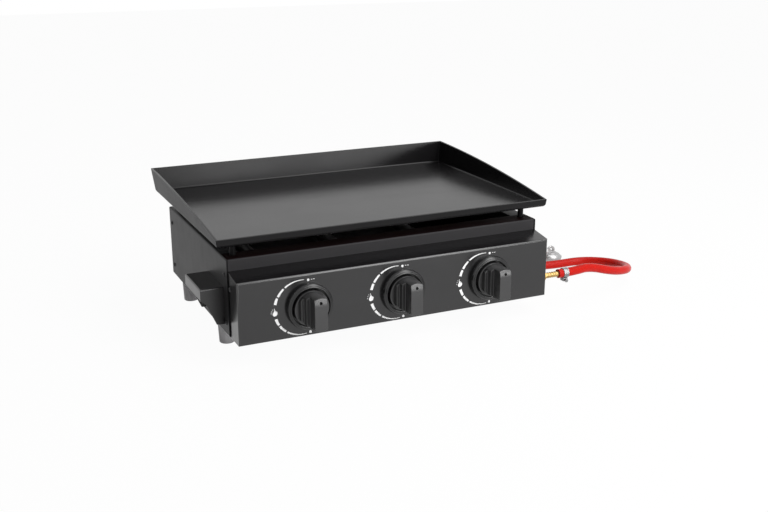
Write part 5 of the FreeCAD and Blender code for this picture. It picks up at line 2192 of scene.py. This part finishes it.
@dataclass
class GasLine:
    """The manifold, the hose with its tail and clamps, the regulator and the union nut."""

    fitter: Fitter
    fasteners: Fasteners
    hose_radius: float = 8.0 * MM
    hose_length: float = 0.8955
    tail_flats: float = 9.5 * MM
    tail_hexagon: float = 9.0 * MM
    tail_radius: float = 4.7 * MM
    tail_shoulder: float = 7.0 * MM
    shoulder_width: float = 4.0 * MM
    rib_rise: float = 0.5 * MM
    rib_pitch: float = 5.0 * MM
    nose_length: float = 4.0 * MM
    nose_taper: float = 1.5 * MM
    ribless: float = 6.0 * MM
    curve_steps: int = 14
    round_steps: int = 8

    def build(self) -> None:
        """Makes the pieces from the manifold to the regulator."""
        self.fitter.paint(ZINC, "manifold_pipe")
        self.fitter.paint(BRASS, "manifold_plug")
        self.hose_tail()
        self.clamps()
        self.regulator()
        self.hose()

    def hose_tail(self) -> None:
        """Makes the brass inlet with its hexagon and its ribs."""
        near, far = low("hose_tail"), high("hose_tail")
        end, hexagon = far.x - near.x, self.tail_hexagon
        radius, shoulder = self.tail_radius, self.tail_shoulder
        made = self.fasteners.hexagon("brass_hose_tail", self.tail_flats, 0.0, hexagon)
        step = hexagon + self.shoulder_width
        profile = [
            (shoulder, hexagon * 0.5),
            (shoulder, step - 0.4 * MM),
            (shoulder - 0.4 * MM, step),
            (radius, step + 0.1 * MM),
        ]
        level = step + self.rib_pitch
        while level < end - self.ribless:
            profile += [
                (radius, level),
                (radius + self.rib_rise, level + 0.5 * MM),
                (radius + self.rib_rise, level + 1.5 * MM),
                (radius, level + 2.0 * MM),
            ]
            level += self.rib_pitch
        profile += [(radius, end - self.nose_length), (radius - self.nose_taper, end)]
        shaft = Workpiece.turned("shaft", profile, sides=56)
        made.combine(shaft, Meeting.WELD)
        made.smooth(30.0)
        spot = middle("hose_tail")
        made.move(facing(X_AXIS, Vector((near.x, spot.y, spot.z))))
        self.fitter.fit(made, BRASS, STATION, ["hose_tail"])

    def clamps(self) -> None:
        """Puts a clamp on each end of the hose."""
        shape = HoseClamp()
        clamp = shape.make()
        radius = shape.inner + shape.band
        for end, axis, turn in (("inlet", -X_AXIS, math.pi), ("regulator", -Y_AXIS, 0.0)):
            node = f"hose_clamp_{end}"
            near, far, spot = low(node), high(node), middle(node)
            if end == "inlet":
                place = Vector((spot.x, near.y + radius, far.z - radius))
            else:
                place = Vector((near.x + radius, spot.y, near.z + radius))
            move = facing(axis, place) @ Matrix.Rotation(turn, 4, "Z")
            placed = clamp.copied(f"worm_clamp_{end}", move)
            self.fitter.fit(placed, CLAMP_STEEL, STATION, [node])
        clamp.discard()

    def regulator(self) -> None:
        """Sets the regulator and its union nut on the ground."""
        shape = Regulator()
        along = low("regulator_body").y + shape.dial_radius
        casing = shape.make()
        casing.rename("die_cast_regulator")
        casing.move(shift(high("regulator_body").x - shape.dial_radius, along, 0.0))
        self.fitter.fit(casing, REGULATOR_CAST, STATION, ["regulator_body"])
        nut = UnionNut().make()
        nut.rename("fluted_union_nut")
        spot = Vector((high("regulator_nut").x, along, middle("regulator_nut").z))
        nut.move(facing(-X_AXIS, spot))
        self.fitter.fit(nut, BRASS, UNION_NUT, ["regulator_nut"])

    def hose(self) -> None:
        """Lays the hose as one smooth curve along its route."""
        front = low("griddle_plate").y
        points = [Vector((x * MM, y * MM + front, z * MM)) for x, y, z in ROUTE]
        curve = bpy.data.curves.new("hose", "CURVE")
        curve.dimensions = "3D"
        curve.bevel_depth = self.hose_radius
        curve.bevel_resolution = self.round_steps
        curve.resolution_u = self.curve_steps
        curve.use_fill_caps = True
        line = curve.splines.new("NURBS")
        line.points.add(len(points) - 1)
        for knot, point in zip(line.points, points):
            knot.co = (*point, 1.0)
        line.order_u = 3
        line.use_endpoint_u = True
        piece = bpy.data.objects.new("hose", curve)
        bpy.context.scene.collection.objects.link(piece)
        curve.materials.append(HOSE_RUBBER.material(self.fitter.effects))
        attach(piece, STATION)
        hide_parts("gas_hose")


# The studio


def seen_directly(bench: NodeBench) -> bpy.types.NodeSocket:
    """Tells the camera's own rays, and those that it sends by gloss or glass, from the others.

    Args:
        bench: the bench of the tree that asks.

    Returns:
        The socket of the answer, 1 or 0.
    """
    rays = bench.add("ShaderNodeLightPath").outputs
    by_gloss = bench.maths("MAXIMUM", rays["Is Camera Ray"], rays["Is Glossy Ray"])
    return bench.maths("MAXIMUM", by_gloss, rays["Is Transmission Ray"])


@dataclass(frozen=True)
class Lamp:
    """A soft lamp: where it hangs and shines, its width and height in metres and its watts."""

    name: str
    place: Triple
    target: Triple
    width: float
    height: float
    power: float

    def hang(self) -> None:
        """Hangs the lamp."""
        light = bpy.data.lights.new(self.name, "AREA")
        light.shape = "RECTANGLE"
        light.size = self.width
        light.size_y = self.height
        light.energy = self.power
        lamp = bpy.data.objects.new(self.name, light)
        bpy.context.scene.collection.objects.link(lamp)
        lamp.matrix_world = facing(Vector(self.place) - Vector(self.target), Vector(self.place))


@dataclass
class Studio:
    """The pale floor, the soft lights and the camera at the photograph's angle."""

    camera_place: Triple = (-0.69917, -1.61313, 0.64564)
    yaw: float = 25.1
    pitch: float = 17.63
    lens: float = 48.5
    sensor: float = 36.0
    floor_span: float = 14.0
    floor_gap: float = 0.5 * MM
    floor_colour: Triple = (0.86, 0.86, 0.86)
    floor_roughness: float = 0.6
    floor_glow: float = 0.96
    sky_glow: float = 0.15
    lamps: tuple[Lamp, ...] = (
        Lamp("top_softbox", (0.75, 0.2, 1.9), (0.0, 0.0, 0.1), 1.0, 1.0, 7.0),
        Lamp("key_softbox", (0.85, -0.75, 1.8), (0.0, 0.1, 0.15), 1.1, 1.1, 18.0),
        Lamp("front_softbox", (0.88, -1.95, 1.4), (0.0, 0.0, 0.1), 1.4, 1.4, 32.0),
        Lamp("low_softbox", (0.78, -1.9, 0.2), (0.2, 0.2, 0.2), 1.2, 0.36, 9.5),
    )

    def build(self) -> None:
        """Sets the stage."""
        self.floor()
        for lamp in self.lamps:
            lamp.hang()
        self.world()
        self.camera()

    def camera(self) -> None:
        """Puts the camera where the photograph was taken from."""
        bpy.ops.object.select_all(action="DESELECT")
        bpy.ops.object.camera_add(
            location=self.camera_place,
            rotation=(math.radians(90.0 - self.pitch), 0.0, math.radians(-self.yaw)),
        )
        camera = bpy.context.active_object
        camera.name = "photo_camera"
        camera.data.lens = self.lens
        camera.data.sensor_width = self.sensor
        bpy.context.scene.camera = camera
        bpy.context.scene.view_settings.view_transform = "Standard"

    def floor(self) -> None:
        """Lays the floor, which looks white to the camera and keeps the shadows."""
        bpy.ops.object.select_all(action="DESELECT")
        bpy.ops.mesh.primitive_plane_add(
            size=self.floor_span, location=(0.0, 0.0, -self.floor_gap)
        )
        floor = bpy.context.active_object
        floor.name = "floor"
        made = bpy.data.materials.new("floor_white")
        made.use_nodes = True
        bench = NodeBench(made.node_tree)
        shader = made.node_tree.nodes["Principled BSDF"]
        shader.inputs["Base Color"].default_value = (*self.floor_colour, 1.0)
        shader.inputs["Roughness"].default_value = self.floor_roughness
        glow = bench.add("ShaderNodeEmission", Color=WHITE, Strength=1.0).outputs["Emission"]
        share = bench.maths("MULTIPLY", seen_directly(bench), self.floor_glow)
        mixed = bench.add("ShaderNodeMixShader")
        bench.feed_all(mixed.inputs, (share, shader.outputs["BSDF"], glow))
        output = made.node_tree.nodes["Material Output"]
        bench.feed(output.inputs["Surface"], mixed.outputs["Shader"])
        floor.data.materials.append(made)

    def world(self) -> None:
        """Lights the scene from all round, and looks white to the camera and in gloss."""
        world = bpy.data.worlds.new("studio_white")
        bpy.context.scene.world = world
        world.use_nodes = True
        bench = NodeBench(world.node_tree)
        strength = bench.spread(seen_directly(bench), (0.0, 1.0), (self.sky_glow, 1.0))
        sky = world.node_tree.nodes["Background"]
        sky.inputs["Color"].default_value = WHITE
        bench.feed(sky.inputs["Strength"], strength)


def main() -> None:
    """Builds the station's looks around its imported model."""
    logging.basicConfig(level=logging.INFO, format="%(name)s: %(message)s")
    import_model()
    fitter = Fitter(Effects())
    fasteners = Fasteners(fitter)
    Studio().build()
    GasLine(fitter, fasteners).build()
    GriddlePlate(fitter).build()
    BurnerBox(fitter, fasteners).build()
    CarryHandles(fitter, fasteners).build()
    ControlBox(fitter, fasteners).build()
    Burners(fitter).build()


if __name__ == "__main__":
    main()
